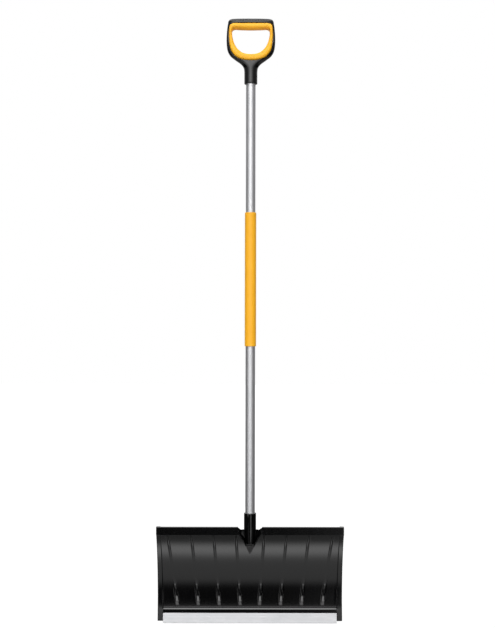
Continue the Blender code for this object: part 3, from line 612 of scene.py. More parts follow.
def press_grooves_tree():
    sizes = ("First", "Pitch", "Floor", "Mouth", "Head floor", "Head mouth", "Depth", "Low", "High", "Last")
    tree, given, out = new_tree("press_grooves", [
        *[(size, "NodeSocketFloat") for size in sizes],
        ("Centre", "NodeSocketVector"), ("Material", "NodeSocketMaterial")])
    maths = "ShaderNodeMath"
    where = add(tree, "GeometryNodeInputPosition")
    split = add(tree, "ShaderNodeSeparateXYZ", {0: where})
    across = add(tree, maths, {0: split.outputs[0]}, operation="ABSOLUTE")
    side = add(tree, maths, {0: split.outputs[0]}, operation="SIGN")
    # share of the way from the grooves' feet to their heads
    share = add(tree, "ShaderNodeMapRange", {0: split.outputs[2], 1: given.outputs["Low"],
                                             2: given.outputs["High"]})
    # how far each column moves out at the heads, by its distance from the middle
    reach = add(tree, maths, {0: across, 1: FAN_WIDTH * MM}, operation="DIVIDE")
    fan = add(tree, "ShaderNodeFloatCurve", {1: reach})
    set_curve(fan, [(q / FAN_WIDTH, shift / FAN_SHIFT) for q, shift in FAN])
    shift = add(tree, maths, {0: fan, 1: FAN_SHIFT * MM}, operation="MULTIPLY")
    shift = add(tree, maths, {0: shift, 1: share}, operation="MULTIPLY")
    shift = add(tree, maths, {0: shift, 1: side}, operation="MULTIPLY")
    # distance from the nearest groove, on the blank's even spacing
    from_first = add(tree, maths, {0: across, 1: given.outputs["First"]}, operation="SUBTRACT")
    half_pitch = add(tree, maths, {0: given.outputs["Pitch"], 1: 0.5}, operation="MULTIPLY")
    nearest = add(tree, maths, {0: from_first, 1: half_pitch}, operation="PINGPONG")
    mouth = add(tree, "ShaderNodeMix", {0: share, 2: given.outputs["Mouth"],
                                        3: given.outputs["Head mouth"]})
    floor = add(tree, "ShaderNodeMix", {0: share, 2: given.outputs["Floor"],
                                        3: given.outputs["Head floor"]})
    trough = add(tree, "ShaderNodeMapRange", {0: nearest, 1: mouth, 2: floor},
                 interpolation_type="SMOOTHSTEP")
    inside = add(tree, maths, {0: across, 1: given.outputs["Last"]}, operation="LESS_THAN")
    # deep near the foot and the head, almost nothing half-way
    along = add(tree, "ShaderNodeFloatCurve", {1: share})
    set_curve(along, GROOVE_PROFILE, "AUTO")
    sunk = given.outputs["Depth"]
    for factor in (trough, inside, along):
        sunk = add(tree, maths, {0: sunk, 1: factor}, operation="MULTIPLY")
    # the arc's radius at this height, seen from the side
    from_centre = add(tree, "ShaderNodeVectorMath", {0: where, 1: given.outputs["Centre"]},
                      operation="SUBTRACT")
    sideways = add(tree, "ShaderNodeVectorMath", {0: from_centre, 1: (0.0, 1.0, 1.0)},
                   operation="MULTIPLY")
    radial = add(tree, "ShaderNodeVectorMath", {0: sideways}, operation="NORMALIZE")
    push = add(tree, "ShaderNodeVectorMath", {0: radial, "Scale": sunk}, operation="SCALE")
    fanned = add(tree, "ShaderNodeCombineXYZ", {0: shift})
    offset = add(tree, "ShaderNodeVectorMath", {0: push, 1: fanned}, operation="ADD")
    moved = add(tree, "GeometryNodeSetPosition", {"Geometry": given.outputs["Geometry"],
                                                  "Offset": offset})
    real = add(tree, "GeometryNodeRealizeInstances", {0: moved})
    dressed = add(tree, "GeometryNodeSetMaterial", {0: real, "Material": given.outputs["Material"]})
    tree.links.new(dressed.outputs[0], out.inputs[0])
    return tree


arc_centre = place(0.0, SHEET_FWD + UPPER_RADIUS, DEEPEST_Z)
blade = with_nodes(blade, press_grooves_tree(), {
    "First": GROOVE_FIRST * MM,
    "Pitch": GROOVE_PITCH * MM,
    "Floor": GROOVE_HALF_FLOOR * MM,
    "Mouth": GROOVE_HALF_MOUTH * MM,
    "Head floor": HEAD_HALF_FLOOR * MM,
    "Head mouth": HEAD_HALF_MOUTH * MM,
    "Depth": GROOVE_DEPTH * MM,
    "Low": GROOVE_FOOT_Z * MM,
    "High": GROOVE_HEAD_Z * MM,
    "Last": GROOVE_LAST * MM,
    "Centre": arc_centre,
    "Material": BLADE_PLASTIC,
})
print("pressed eight grooves; the blade has", len(blade.data.vertices), "points")

# %% [markdown]
# ## The socket and its pocket
# The shaft stands in a round socket behind the sheet. In front of it the moulding opens a V-shaped pocket
# with a nearly level floor and a small sloping facet down to the sheet. Its walls spread towards the front,
# so that the mould can draw. The pocket's shell, the spine below it and the socket are joined on, and the
# pocket and the bore are cut out.

# %% Sizes of the socket and its pocket
TUBE_R = (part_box("shaft_tube")[1].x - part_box("shaft_tube")[0].x) / MM / 2
SOCKET_R = 16.4
SOCKET_TOP = BLADE_HIGH.z / MM
SOCKET_BOTTOM, SOCKET_FLOOR = 92.0, 100.0
SPINE_HALF_WIDTH = 11.0
# (fwd, z) corners of the spine that carries the socket's lower part
SPINE = ((-4.0, 98.0), (40.0, 94.0), (80.0, 232.0), (-4.0, 232.0))
POCKET_BACK, POCKET_FRONT, POCKET_WALL, POCKET_STEP = 8.0, 100.0, 3.0, 6.5
# each edge of the pocket is a line of (x, fwd, z) from the sheet to the pocket's back
POCKET_KEEL = ((0.0, 43.0, 185.4), (0.0, 20.0, 208.0), (0.0, POCKET_BACK, 209.0))
POCKET_SHOULDER = ((1.2, 43.0, 186.6), (12.0, 20.0, 208.6), (12.0, POCKET_BACK, 209.6))
POCKET_SIDE = ((37.7, POCKET_FRONT, 250.6), (31.3, 71.0, 246.0), (17.5, POCKET_BACK, 236.0))
POCKET_RIM = ((4.5, 245.0), (37.0, 251.0), (76.0, 265.8))
FAR_BACK, FAR_UP = -40.0, 300.0     # well past everything that the cuts should reach
print("socket", round(SOCKET_TOP - SOCKET_BOTTOM), "mm tall")

# %% Rings of the pocket
def on_line(line, fwd):
    """Point (x, z) where an edge of the pocket crosses a given fwd; level beyond its ends."""
    for (x0, f0, z0), (x1, f1, z1) in zip(line, line[1:]):
        if fwd >= f1:
            share = max((fwd - f0) / (f1 - f0), 0.0)
            return mix(x0, x1, share), mix(z0, z1, share)
    return line[-1][0], line[-1][2]


def pocket_ring(fwd, top, thickness=0.0):
    """Outline of the pocket at one fwd, keel first, grown outwards by a wall thickness."""
    keel_z = on_line(POCKET_KEEL, fwd)[1]
    shoulder_x, shoulder_z = on_line(POCKET_SHOULDER, fwd)
    side_x, side_z = on_line(POCKET_SIDE, fwd)
    half = [(shoulder_x + thickness, shoulder_z - 0.6 * thickness),
            (side_x + thickness, side_z - 0.3 * thickness), (side_x + thickness, top)]
    points = [(0.0, keel_z - 1.3 * thickness), *half, *[(-x, z) for x, z in reversed(half)]]
    return [place(x, fwd, z) for x, z in points]


def rim_height(fwd):
    """Height of the pocket's rim, which falls from the lip to the socket."""
    for (f0, z0), (f1, z1) in zip(POCKET_RIM, POCKET_RIM[1:]):
        if fwd <= f1:
            return mix(z0, z1, (fwd - f0) / (f1 - f0))
    return POCKET_RIM[-1][1]


def stations(start, end):
    """Places along fwd, about a step apart."""
    return spread(start, end, round((end - start) / POCKET_STEP) + 1)


print("pocket keel starts at", POCKET_KEEL[0][2], "mm on the sheet")

# %% Shapes to join on and to cut out
def slab(name, outline, half_width):
    """An outline of (fwd, z) points, made into a slab about the middle."""
    return skin(name, [[place(x, fwd, z) for fwd, z in outline] for x in (-half_width, half_width)])


def pocket_shell():
    """The pocket's walls and the spine, kept only where they lie behind the sheet's middle."""
    walls = [pocket_ring(fwd, rim_height(fwd), POCKET_WALL)
             for fwd in stations(POCKET_RIM[0][0], POCKET_RIM[-1][0])]
    arc = [scoop(deg, -0.5 * SHEET_WALL) for deg in spread(-2.0, HIGH_DEG - 0.4, 40)]
    lip_middle = LIP_FWD - 0.5 * LIP_DEPTH
    behind = [(FAR_BACK, arc[0][1]), *arc, (lip_middle, LIP_BOTTOM + 3.0), (lip_middle, FAR_UP),
              (FAR_BACK, FAR_UP)]
    return cut_and_join(skin("pocket_shell", walls), [
        ("UNION", slab("spine", SPINE, SPINE_HALF_WIDTH)),
        ("INTERSECT", slab("behind_sheet", behind, 60.0))])


def pocket_hollow():
    return skin("pocket", [pocket_ring(fwd, LIP_TOP + 40.0) for fwd in stations(POCKET_BACK, POCKET_FRONT)])


def round_socket():
    corners = [(0.01, SOCKET_TOP, 0.0), (SOCKET_R, SOCKET_TOP, 1.4), (SOCKET_R, 260.0, 0.0),
               (SOCKET_R, SOCKET_BOTTOM, 3.0), (0.01, SOCKET_BOTTOM, 0.0)]
    return turned("socket", corners, steps=96, hollow=False)


def straight_bore(name, radius, low, high):
    return skin(name, [[place(x, fwd, z) for x, fwd in circle(radius, 96)] for z in (low, high)])


print("four shapes for the socket described")

# %% Cut the pocket, join the socket
blade = cut_and_join(blade, [
    ("UNION", pocket_shell()),
    ("DIFFERENCE", pocket_hollow()),
    ("UNION", round_socket()),
    ("DIFFERENCE", straight_bore("blade_bore", TUBE_R + GAP, SOCKET_FLOOR, SOCKET_TOP + 20.0))])
print("blade has", len(blade.data.polygons), "faces and", len(blade.data.materials), "material")

# %% [markdown]
# ## Shaft and sleeve
# The shaft is a straight drawn tube and the sleeve a straight extrusion over it, so both are outlines
# turned about the same axis. A hundred and more facets keep their highlights even.

# %% Turn the tube and the sleeve
TUBE_LOW, TUBE_HIGH = (corner.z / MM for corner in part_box("shaft_tube"))
TUBE_WALL = 1.3
SLEEVE_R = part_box("shaft_sleeve")[1].x / MM
SLEEVE_LOW, SLEEVE_HIGH = (corner.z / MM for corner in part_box("shaft_sleeve"))

tube = turned("shaft_tube_fine", [
    (TUBE_R, TUBE_HIGH, 0.3), (TUBE_R, TUBE_LOW, 0.3), (TUBE_R - TUBE_WALL, TUBE_LOW, 0.3),
    (TUBE_R - TUBE_WALL, TUBE_HIGH, 0.3)])
tube.data.materials.append(TUBE_METAL)
sleeve = turned("shaft_sleeve_fine", [
    (SLEEVE_R, SLEEVE_HIGH, 1.4), (SLEEVE_R, SLEEVE_LOW, 1.4), (TUBE_R + GAP, SLEEVE_LOW, 0.2),
    (TUBE_R + GAP, SLEEVE_HIGH, 0.2)])
sleeve.data.materials.append(SLEEVE)
print("tube", round(TUBE_HIGH - TUBE_LOW), "mm long, sleeve", round(SLEEVE_HIGH - SLEEVE_LOW), "mm")

# %% [markdown]
# ## The D-handle
# The frame grows out of a round socket into a flat ring. Its section is a superellipse: a circle at the
# socket, and squarer as it spreads, which is how such a moulding keeps an even wall. The soft grip fills
# the ring's inside and is rounder, because fingers close around it.

# %% Sizes and outlines of the handle
HANDLE_LOW, HANDLE_HIGH = (corner.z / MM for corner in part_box("handle_frame"))
HANDLE_BORE_TOP = 1500.0
FRAME_SOCKET_DEPTH, FRAME_RING_DEPTH = 17.8, 15.0
FRAME_SQUARE = 3.4
MOUTH_ROUND = 1.6           # at the socket's lower edge
# height where a blend starts, and its length: round to squarer section, socket's to ring's depth
SQUARE_FROM, SQUARE_OVER = 1490.0, 30.0
FLATTEN_FROM, FLATTEN_OVER = 1486.0, 40.0
LIP_UNDER_GRIP = 0.25
CORNER_Z, CORNER_R = 1614.0, 9.6
CORNER_SHARE = 0.86         # of the rise to the top, taken by the rounded corners
CROWN_SHARE = 0.865         # of the rise, where the crown starts
# half-width of the frame by height, from the socket's mouth to the top's corners
FRAME_WIDTHS = (
    (1453.0, 17.8), (1470.0, 17.8), (1484.0, 18.0), (1494.0, 19.8), (1504.4, 27.4),
    (1515.2, 42.0), (1526.1, 55.6), (1540.0, 63.2), (1560.0, 65.9), (1582.0, 65.7),
    (1602.0, 64.0), (1614.0, 62.0),
)
# right half of the soft grip's outline and of the hand opening, top centre to bottom centre
GRIP_OUTLINE = (
    (0.0, 1613.8), (30.0, 1613.5), (48.0, 1612.8), (57.2, 1607.5), (59.6, 1592.0), (59.8, 1574.0),
    (57.8, 1553.0), (52.6, 1535.5), (38.0, 1519.8), (18.0, 1512.6), (0.0, 1511.2),
)
HAND_OUTLINE = (
    (0.0, 1597.3), (28.0, 1598.0), (43.0, 1598.7), (50.0, 1594.0), (50.7, 1584.0), (48.7, 1572.0),
    (44.6, 1559.0), (37.3, 1546.6), (25.0, 1535.9), (12.5, 1531.6), (0.0, 1530.5),
)
GRIP_BAR_DEPTH, GRIP_SIDE_DEPTH = 17.0, 14.5
THICKEN_FROM, THICKEN_OVER = 1575.0, 20.0
GRIP_SQUARE = 2.8
print("handle stands", round(HANDLE_HIGH - HANDLE_LOW), "mm high")

# %% Curves for the handle
def through(points, per_span):
    """Catmull-Rom curve through 2-D points, with per_span steps between neighbours."""
    padded = [points[0], *points, points[-1]]
    curve = []
    for a, b, c, d in zip(padded, padded[1:], padded[2:], padded[3:]):
        for step in range(per_span):
            u = step / per_span
            weights = (-0.5 * u + u * u - 0.5 * u ** 3, 1.0 - 2.5 * u * u + 1.5 * u ** 3,
                       0.5 * u + 2.0 * u * u - 1.5 * u ** 3, -0.5 * u * u + 0.5 * u ** 3)
            curve.append(tuple(sum(weight * point[axis] for weight, point in zip(weights, (a, b, c, d)))
                               for axis in (0, 1)))
    curve.append(tuple(points[-1]))
    return curve


def mirrored_loop(half):
    """Close a right-half outline, top to bottom, with its mirror image."""
    return half + [(-x, z) for x, z in reversed(half[1:-1])]


def superellipse(angle, power):
    """Point of a unit superellipse: power 2 is a circle, more is squarer."""
    c, s = math.cos(angle), math.sin(angle)
    return math.copysign(abs(c) ** (2.0 / power), c), math.copysign(abs(s) ** (2.0 / power), s)


print("frame's width runs through", len(FRAME_WIDTHS), "stations")

# %% Loft the handle's frame
def frame_sections():
    """(z, half-width, half-depth) of the frame, bottom to top."""
    sections = []
    for step in range(5):       # rounded mouth of the socket
        angle = QUARTER * step / 5
        inset = MOUTH_ROUND * (1.0 - math.sin(angle))
        sections.append((HANDLE_LOW + MOUTH_ROUND * (1.0 - math.cos(angle)),
                         FRAME_WIDTHS[0][1] - inset, FRAME_SOCKET_DEPTH - inset))
    for z, width in through(FRAME_WIDTHS, 9):
        flattened = smoothstep((z - FLATTEN_FROM) / FLATTEN_OVER)
        sections.append((z, width, mix(FRAME_SOCKET_DEPTH, FRAME_RING_DEPTH, flattened)))
    rise = HANDLE_HIGH - CORNER_Z
    corner_width = FRAME_WIDTHS[-1][1]
    for step in range(1, 15):
        angle = QUARTER * step / 14.5
        inset = CORNER_R * (1.0 - math.cos(angle))
        sections.append((CORNER_Z + rise * math.sin(angle) * CORNER_SHARE, corner_width - inset,
                         FRAME_RING_DEPTH - 0.75 * inset))
    # the crowned top closes in over the last millimetres
    for share in (0.84, 0.72, 0.56, 0.4, 0.26):
        lift = CROWN_SHARE + (1.0 - CROWN_SHARE) * math.sqrt(max(0.0, 1.0 - (share / 0.87) ** 2))
        sections.append((CORNER_Z + rise * lift, corner_width * share, 6.6 * share + 1.0))
    sections.append((HANDLE_HIGH, 8.0, 1.6))
    return sections


# the window for the soft grip as (fwd, growth) steps: behind, a thin lip reaches under the grip
WINDOW_STEPS = ((-40.0, -LIP_UNDER_GRIP), (-11.4, -LIP_UNDER_GRIP), (-10.4, GAP), (40.0, GAP))


def grip_window():
    centre_z = 0.5 * (GRIP_OUTLINE[0][1] + GRIP_OUTLINE[-1][1])
    rings = []
    for fwd, growth in WINDOW_STEPS:
        ring = []
        for x, z in mirrored_loop(through(GRIP_OUTLINE, 10)):
            reach = math.hypot(x, z - centre_z)
            ring.append(place(x * (reach + growth) / reach, fwd,
                              centre_z + (z - centre_z) * (reach + growth) / reach))
        rings.append(ring)
    return skin("grip_window", rings)


def handle_frame():
    steps = 96
    rings = []
    for z, width, depth in frame_sections():
        power = mix(2.0, FRAME_SQUARE, smoothstep((z - SQUARE_FROM) / SQUARE_OVER))
        unit = [superellipse(math.tau * i / steps, power) for i in range(steps)]
        rings.append([place(width * x, depth * fwd, z) for x, fwd in unit])
    return cut_and_join(skin("handle_frame_fine", rings), [
        ("DIFFERENCE", grip_window()),
        ("DIFFERENCE", straight_bore("handle_bore", TUBE_R + GAP, HANDLE_LOW - 20.0, HANDLE_BORE_TOP))])


handle = handle_frame()
handle.data.materials.clear()
handle.data.materials.append(HANDLE_PLASTIC)
print("handle frame has", len(handle.data.polygons), "faces")

# %% Loft the soft grip
def soft_grip():
    """A ring of rounded sections, each from the hand opening's outline to the frame's window."""
    steps = 44
    outer = mirrored_loop(through(GRIP_OUTLINE, 12))
    inner = mirrored_loop(through(HAND_OUTLINE, 12))
    rings = []
    for (ox, oz), (ix, iz) in zip(outer, inner):
        depth = mix(GRIP_SIDE_DEPTH, GRIP_BAR_DEPTH, smoothstep((iz - THICKEN_FROM) / THICKEN_OVER))
        ring = []
        for i in range(steps):
            side, fwd = superellipse(math.tau * (i + 0.5) / steps, GRIP_SQUARE)
            share = 0.5 + 0.5 * side
            ring.append(place(mix(ix, ox, share), depth * fwd, mix(iz, oz, share)))
        rings.append(ring)
    return skin("handle_softgrip_fine", rings, loop=True)


softgrip = soft_grip()
softgrip.data.materials.append(SOFT_GRIP)
print("soft grip has", len(softgrip.data.polygons), "faces")

# %% [markdown]
# ## The scraper
# A scraper is pushed through a die, so every cut across it is the same. That is a rule for Geometry Nodes:
# the piece starts as the die's outline, and the tree sweeps it along a straight line of the right length.

# %% A tree that extrudes an outline
def extrude_tree():
    tree, given, out = new_tree("push_through_die", [
        ("Start", "NodeSocketVector"), ("End", "NodeSocketVector"), ("Material", "NodeSocketMaterial")])
    outline = add(tree, "GeometryNodeMeshToCurve", {0: given.outputs["Geometry"]})
    line = add(tree, "GeometryNodeCurvePrimitiveLine", {"Start": given.outputs["Start"],
                                                        "End": given.outputs["End"]})
    swept = add(tree, "GeometryNodeCurveToMesh", {"Curve": line, "Profile Curve": outline,
                                                  "Fill Caps": True})
    real = add(tree, "GeometryNodeRealizeInstances", {0: swept})
    dressed = add(tree, "GeometryNodeSetMaterial", {0: real, "Material": given.outputs["Material"]})
    tree.links.new(dressed.outputs[0], out.inputs[0])
    return tree


PUSH = extrude_tree()
print("die tree has", len(PUSH.nodes), "nodes")

# %% The die's outline
EDGE_BACK, EDGE_FRONT = STRIP_FWD - 3.2, STRIP_FWD + 2.6    # the flat lower edge
DIE_LINES = (6.5, 10.0, 17.5)       # fine V lines along the front, by their height
DIE_LINE_HALF, DIE_LINE_DEPTH = 0.6, 0.35


def strip_outline():
    """The die's outline as (fwd, z) points, from the lower edge up the front."""
    front_wall, back_wall = STRIP_FRONT - STRIP_FRONT_WALL, STRIP_BACK + STRIP_BACK_WALL
    corners = [(EDGE_BACK, 0.0, 0.3), (EDGE_FRONT, 0.0, 0.2), (*strip_plane(STRIP_FRONT, 0.4), 0.2)]
    for t in DIE_LINES:
        corners += [(*strip_plane(STRIP_FRONT, t - DIE_LINE_HALF), 0.15),
                    (*strip_plane(STRIP_FRONT - DIE_LINE_DEPTH, t), 0.25),
                    (*strip_plane(STRIP_FRONT, t + DIE_LINE_HALF), 0.15)]
    corners += [
        (*strip_plane(STRIP_FRONT, STRIP_HEIGHT), 0.8), (*strip_plane(front_wall, STRIP_HEIGHT), 0.4),
        (*strip_plane(front_wall, STRIP_EDGE), 0.2), (*strip_plane(back_wall, STRIP_EDGE), 0.2),
        (*strip_plane(back_wall, STRIP_BACK_HEIGHT), 0.3),
        (*strip_plane(STRIP_BACK, STRIP_BACK_HEIGHT), 0.5), (*strip_plane(STRIP_BACK, 1.6), 0.4)]
    return eased(corners, steps=3)


def scraper_strip():
    outline = strip_outline()
    mesh = bpy.data.meshes.new("scraper_strip_fine")
    # in the tree's plane, x runs forward and y runs down
    mesh.from_pydata([(fwd * MM, -z * MM, 0.0) for fwd, z in outline],
                     [(i, (i + 1) % len(outline)) for i in range(len(outline))], [])
    strip = with_nodes(add_piece("scraper_strip_fine", mesh), PUSH, {
        "Start": (STRIP_LOW.x, SHAFT_Y * MM, 0.0), "End": (STRIP_HIGH.x, SHAFT_Y * MM, 0.0),
        "Material": STRIP_METAL})
    finish_mesh(strip.data)
    return strip


def spans(piece):
    """Size of a piece's box in mm."""
    return [round((high - low) / MM, 1) for low, high in zip(piece.bound_box[0], piece.bound_box[6])]


strip = scraper_strip()
print("strip spans", spans(strip), "mm")

# %% [markdown]
# ## Rivets and screws
# One rivet, repeated at eight places, and one screw, repeated at three. A tree sets a pattern object on
# every point of a mesh, turned to the lean of the surface it sits on, and makes the copies real.

# %% A tree that sets fasteners on points
def fasten_tree():
    tree, given, out = new_tree("set_fasteners", [
        ("Pattern", "NodeSocketObject"), ("Lean", "NodeSocketFloat"), ("Material", "NodeSocketMaterial")])
    pattern = add(tree, "GeometryNodeObjectInfo", {"Object": given.outputs["Pattern"]})
    turn = add(tree, "ShaderNodeCombineXYZ", {0: given.outputs["Lean"]})
    placed = add(tree, "GeometryNodeInstanceOnPoints", {
        "Points": given.outputs["Geometry"], "Instance": pattern.outputs["Geometry"], "Rotation": turn})
    real = add(tree, "GeometryNodeRealizeInstances", {0: placed})
    dressed = add(tree, "GeometryNodeSetMaterial", {0: real, "Material": given.outputs["Material"]})
    tree.links.new(dressed.outputs[0], out.inputs[0])
    return tree


def headed_pin(name, corners, steps=32):
    """Turn (radius, reach, cut) corners about an axis that runs forward from the origin."""
    outline = eased(corners, steps=3)
    return skin(name, [[(x, -reach * MM, z) for x, z in circle(r * MM, steps)] for r, reach in outline])


def domed(radius, height, steps):
    """(radius, reach, cut) corners of a head's round back, from beside its tip to its rim."""
    angles = [QUARTER * i / steps for i in range(1, steps + 1)]
    return [(radius * math.sin(angle), height - height * math.cos(angle), 0.0) for angle in angles]


def set_fasteners(name, pattern, places, lean, material, tree):
    mesh = bpy.data.meshes.new(name)
    mesh.from_pydata([tuple(point) for point in places], [], [])
    piece = with_nodes(add_piece(name, mesh), tree,
                       {"Pattern": pattern, "Lean": lean, "Material": material})
    finish_mesh(piece.data)
    bpy.data.objects.remove(pattern)
    return piece


FASTEN = fasten_tree()
print("fastener tree has", len(FASTEN.nodes), "nodes")

# %% Eight rivets along the scraper's back
RIVET_T = 12.0              # up the scraper's plane
RIVET_HEAD_R, RIVET_HEAD_HEIGHT, RIVET_SHANK_R = 3.3, 1.5, 1.6
RIVET_TIP = 0.7             # in front of the scraper's plane
PIN_CORE = 0.02             # radius of the tiny cap that closes a turned tip
rivet_nodes = [f"strip_rivet_{number}" for number in range(1, 9)]


def mushroom_rivet():
    """A rivet whose middle, on the scraper's plane, is at the origin, set forward."""
    seat = STRIP_BACK - GAP
    tip = seat - RIVET_HEAD_HEIGHT
    head = [(r, tip + reach, cut) for r, reach, cut in domed(RIVET_HEAD_R, RIVET_HEAD_HEIGHT, 7)]
    return headed_pin("rivet_pattern", [
        (PIN_CORE, tip, 0.0), *head, (RIVET_SHANK_R, seat, 0.0),
        (RIVET_SHANK_R, RIVET_TIP, 0.2), (PIN_CORE, RIVET_TIP, 0.0)])


rivet_places = [place(middle(node).x / MM, *strip_plane(0.0, RIVET_T)) for node in rivet_nodes]
rivets = set_fasteners("strip_rivets_fine", mushroom_rivet(), rivet_places, -STRIP_LEAN,
                       RIVET_METAL, FASTEN)
print("rivets span", spans(rivets), "mm")

# %% Three pan-head screws with cross recesses
SCREW_HEAD_R, SCREW_HEAD_HEIGHT, SCREW_SHANK_R, SCREW_LENGTH = 4.2, 2.4, 1.9, 12.0
SCREW_CROWN, SCREW_POINT = 1.5, 3.0     # rounded part of the head, pointed part of the shank
RECESS_ARMS = ((2.5, 0.55), (0.55, 2.5))    # half-length and half-width of each slot
RECESS_ENDS = ((-1.0, 1.15), (1.5, 0.55))   # reach, and the slot's share of its size there
screw_nodes = ["socket_screw_1", "socket_screw_2", "handle_screw"]


def pan_head_screw():
    """A screw whose head's back face is at the origin, driven forward."""
    seat = SCREW_HEAD_HEIGHT
    tip = seat + SCREW_LENGTH
    screw = headed_pin("screw_pattern", [
        (PIN_CORE, 0.0, 0.0), *domed(SCREW_HEAD_R, SCREW_CROWN, 8), (SCREW_HEAD_R, seat, 0.0),
        (SCREW_SHANK_R, seat, 0.0), (SCREW_SHANK_R, tip - SCREW_POINT, 0.0),
        (PIN_CORE, tip, 0.0)], steps=48)
    slots = []
    for length, width in RECESS_ARMS:
        ring = [(-length, -width), (length, -width), (length, width), (-length, width)]
        slots.append(("DIFFERENCE", skin("recess", [
            [(x * MM * share, -reach * MM, z * MM * share) for x, z in ring]
            for reach, share in RECESS_ENDS])))
    return cut_and_join(screw, slots)


screw_places = [Vector((middle(node).x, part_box(node)[1].y, middle(node).z)) for node in screw_nodes]
screws = set_fasteners("pinning_screws_fine", pan_head_screw(), screw_places, 0.0, SCREW_METAL, FASTEN)
print("screws have", len(screws.data.polygons), "faces")

# %% [markdown]
# ## Riding on the frame
# The tool has no moving part, so every piece rides on the one body. Each fine piece hides the plain
# solids it stands for. The plugs stay as they are, with a better material.

# %% Ride and replace
def settle(piece, slot, *nodes):
    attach(piece, "root")
    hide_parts(*nodes)


settle(blade, "blade_plastic", "blade")
settle(strip, "strip_metal", "scraper_strip")
settle(rivets, "rivet_metal", *rivet_nodes)
settle(tube, "shaft_metal", "shaft_tube")
settle(sleeve, "sleeve_plastic", "shaft_sleeve")
settle(screws, "screw_steel", *screw_nodes)
settle(handle, "handle_plastic", "handle_frame")
settle(softgrip, "softgrip_rubber", "handle_softgrip")
for node in ("tube_plug_lower", "tube_plug_upper"):
    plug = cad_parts[node]
    plug.data.materials.clear()
    plug.data.materials.append(PLUG_PLASTIC)
print("eight pieces ride on root")

# %% [markdown]
# ## Light
# Black gloss shows nothing but what it reflects, so the room is the look. A broad soft window stands in
# front, with a bright ring high above it. Just below the horizon the room is dark, which lets the hollow
# of the blade fall to black, and a bright band low in front puts the bars of light on the sheet. The room
# is a function of direction, which is a world material: azimuth and elevation go through curves. The
# camera itself sees plain white.

# %% Helpers for the studio
CURVE_TOP = 4.0             # radiance at the top of a curve
WHITE = (1.0, 1.0, 1.0, 1.0)


def around(tree, angle, centre, width):
    """A soft bump, 1 where the angle is at the centre, that fades over the width in degrees."""
    away = add(tree, "ShaderNodeMath", {0: angle, 1: centre}, operation="SUBTRACT")
    steps = add(tree, "ShaderNodeMath", {0: away, 1: width}, operation="DIVIDE")
    squared = add(tree, "ShaderNodeMath", {0: steps, 1: steps}, operation="MULTIPLY")
    halved = add(tree, "ShaderNodeMath", {0: squared, 1: -0.5}, operation="MULTIPLY")
    return add(tree, "ShaderNodeMath", {0: halved}, operation="EXPONENT")


def by_height(tree, rung, levels):
    """Radiance by elevation in degrees, through a curve."""
    bands = add(tree, "ShaderNodeFloatCurve", {1: rung})
    set_curve(bands, [((degrees + 90.0) / 180.0, radiance / CURVE_TOP) for degrees, radiance in levels])
    return add(tree, "ShaderNodeMath", {0: bands, 1: CURVE_TOP}, operation="MULTIPLY")


def flat(radiance):
    """The same radiance at every elevation."""
    return ((-90, radiance), (90, radiance))


# radiance by elevation: all round, low and high in front, the front window, and the light from behind
ALL_ROUND = ((-90, 0.3), (-67, 0.28), (-62, 0.42), (-31, 0.38), (-28, 0.2), (-25, 0.02), (-4, 0.03),
             (2, 0.2), (40, 0.25), (50, 0.4), (57, 2.4), (66, 2.4), (73, 0.6), (90, 0.7))
IN_FRONT = ((-90, 0.06), (-67, 0.06), (-61, 2.32), (-57, 2.32), (-51, 0.66), (-47, 0.42), (-31, 0.38),
            (-28, 0.14), (-26, 0), (50, 0), (57, 4.0), (66, 4.0), (73, 0), (90, 0))
WINDOW = ((-90, 0), (-5, 0), (3, 3.8), (32, 3.8), (44, 0.6), (60, 0), (90, 0))
BEHIND = ((-90, 0), (-8, 0.1), (5, 1.2), (45, 1.4), (70, 0), (90, 0))
print("window radiance", max(radiance for _, radiance in WINDOW))

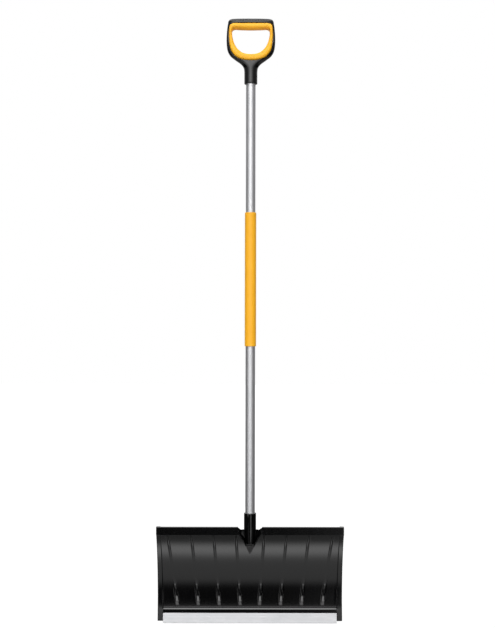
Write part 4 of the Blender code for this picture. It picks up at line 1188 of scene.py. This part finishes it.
# %% The studio
def studio_world():
    world = bpy.data.worlds.new("soft_studio")
    bpy.context.scene.world = world
    world.use_nodes = True
    tree = world.node_tree
    tree.nodes.clear()
    maths = "ShaderNodeMath"
    direction = add(tree, "ShaderNodeSeparateXYZ", {
        0: add(tree, "ShaderNodeTexCoord").outputs["Generated"]})
    height = add(tree, maths, {0: direction.outputs[2]}, operation="ARCSINE")
    degrees = add(tree, maths, {0: height}, operation="DEGREES")
    rung = add(tree, "ShaderNodeMapRange", {0: degrees, 1: -90.0, 2: 90.0})
    # azimuth in degrees: 0 in front, positive to the right
    back = add(tree, maths, {0: direction.outputs[1], 1: -1.0}, operation="MULTIPLY")
    azimuth = add(tree, maths, {0: direction.outputs[0], 1: back}, operation="ARCTAN2")
    azimuth = add(tree, maths, {0: azimuth}, operation="DEGREES")
    off_front = add(tree, maths, {0: azimuth}, operation="ABSOLUTE")
    low = around(tree, degrees, -14.0, 7.0)
    # two upright strips below the horizon draw the lines of light on the socket
    left_strip, right_strip = (
        add(tree, maths, {0: around(tree, azimuth, centre, 4.0), 1: low}, operation="MULTIPLY")
        for centre in (-40.0, 16.0))
    # each light is its share by azimuth times its radiance by elevation
    lights = (
        (1.0, ALL_ROUND),
        (around(tree, azimuth, 0.0, 45.0), IN_FRONT),
        (around(tree, azimuth, -6.0, 20.0), WINDOW),
        (around(tree, off_front, 180.0, 30.0), BEHIND),
        (left_strip, flat(4.0)),
        (right_strip, flat(3.0)),
    )
    total = 0.0
    for share, levels in lights:
        lit = add(tree, maths, {0: by_height(tree, rung, levels), 1: share}, operation="MULTIPLY")
        total = add(tree, maths, {0: lit, 1: total}, operation="ADD")
    room = add(tree, "ShaderNodeBackground", {"Color": WHITE, "Strength": total})
    plain = add(tree, "ShaderNodeBackground", {"Color": WHITE, "Strength": 1.0})
    seen = add(tree, "ShaderNodeLightPath").outputs["Is Camera Ray"]
    shown = add(tree, "ShaderNodeMixShader", {0: seen, 1: room, 2: plain})
    add(tree, "ShaderNodeOutputWorld", {"Surface": shown})
    return world


studio_world()
print("studio ready")

# %% [markdown]
# ## Floor and camera
# The scraper stands on a translucent white board lit from below, so the ground is as white as the room and
# takes hardly a shadow. A dark base colour with emission gives that. The board is kept out of reflections
# and bounced light, because the black plastic should see only the room. The camera is level, a good two
# and a half metres off, and rolled by a tenth of a degree, because the tool stands a hair out of plumb.

# %% A pale floor
FLOOR_REACH = 9.0           # metres to each side


def pale_floor():
    mesh = bpy.data.meshes.new("pale_floor")
    corners = [(-1, -1), (1, -1), (1, 1), (-1, 1)]
    mesh.from_pydata([(FLOOR_REACH * x, FLOOR_REACH * y, 0.0) for x, y in corners], [], [(0, 1, 2, 3)])
    floor = add_piece("pale_floor", mesh)
    made, _, shader = new_material("lit_white_board", "#2a2a2a", 0.8)
    shader.inputs["Emission Color"].default_value = WHITE
    shader.inputs["Emission Strength"].default_value = 0.97
    mesh.materials.append(made)
    floor.visible_glossy = False
    floor.visible_diffuse = False


pale_floor()
print("floor laid")

# %% The camera
CAMERA = (-7.85, 2708.0, 827.4)     # across, in front of the shaft, up
CAMERA_LEAN = -0.109                # degrees; the tool stands a hair out of plumb
LENS = 57.3                         # mm, on the default sensor

camera = bpy.data.objects.new("camera", bpy.data.cameras.new("camera"))
bpy.context.scene.collection.objects.link(camera)
camera.location = place(*CAMERA)
camera.rotation_euler = (QUARTER, math.radians(CAMERA_LEAN), 0.0)
camera.data.lens = LENS
bpy.context.scene.camera = camera
bpy.context.scene.view_settings.view_transform = "Standard"
print("camera stands", round(CAMERA[1] / 1000, 2), "m in front")
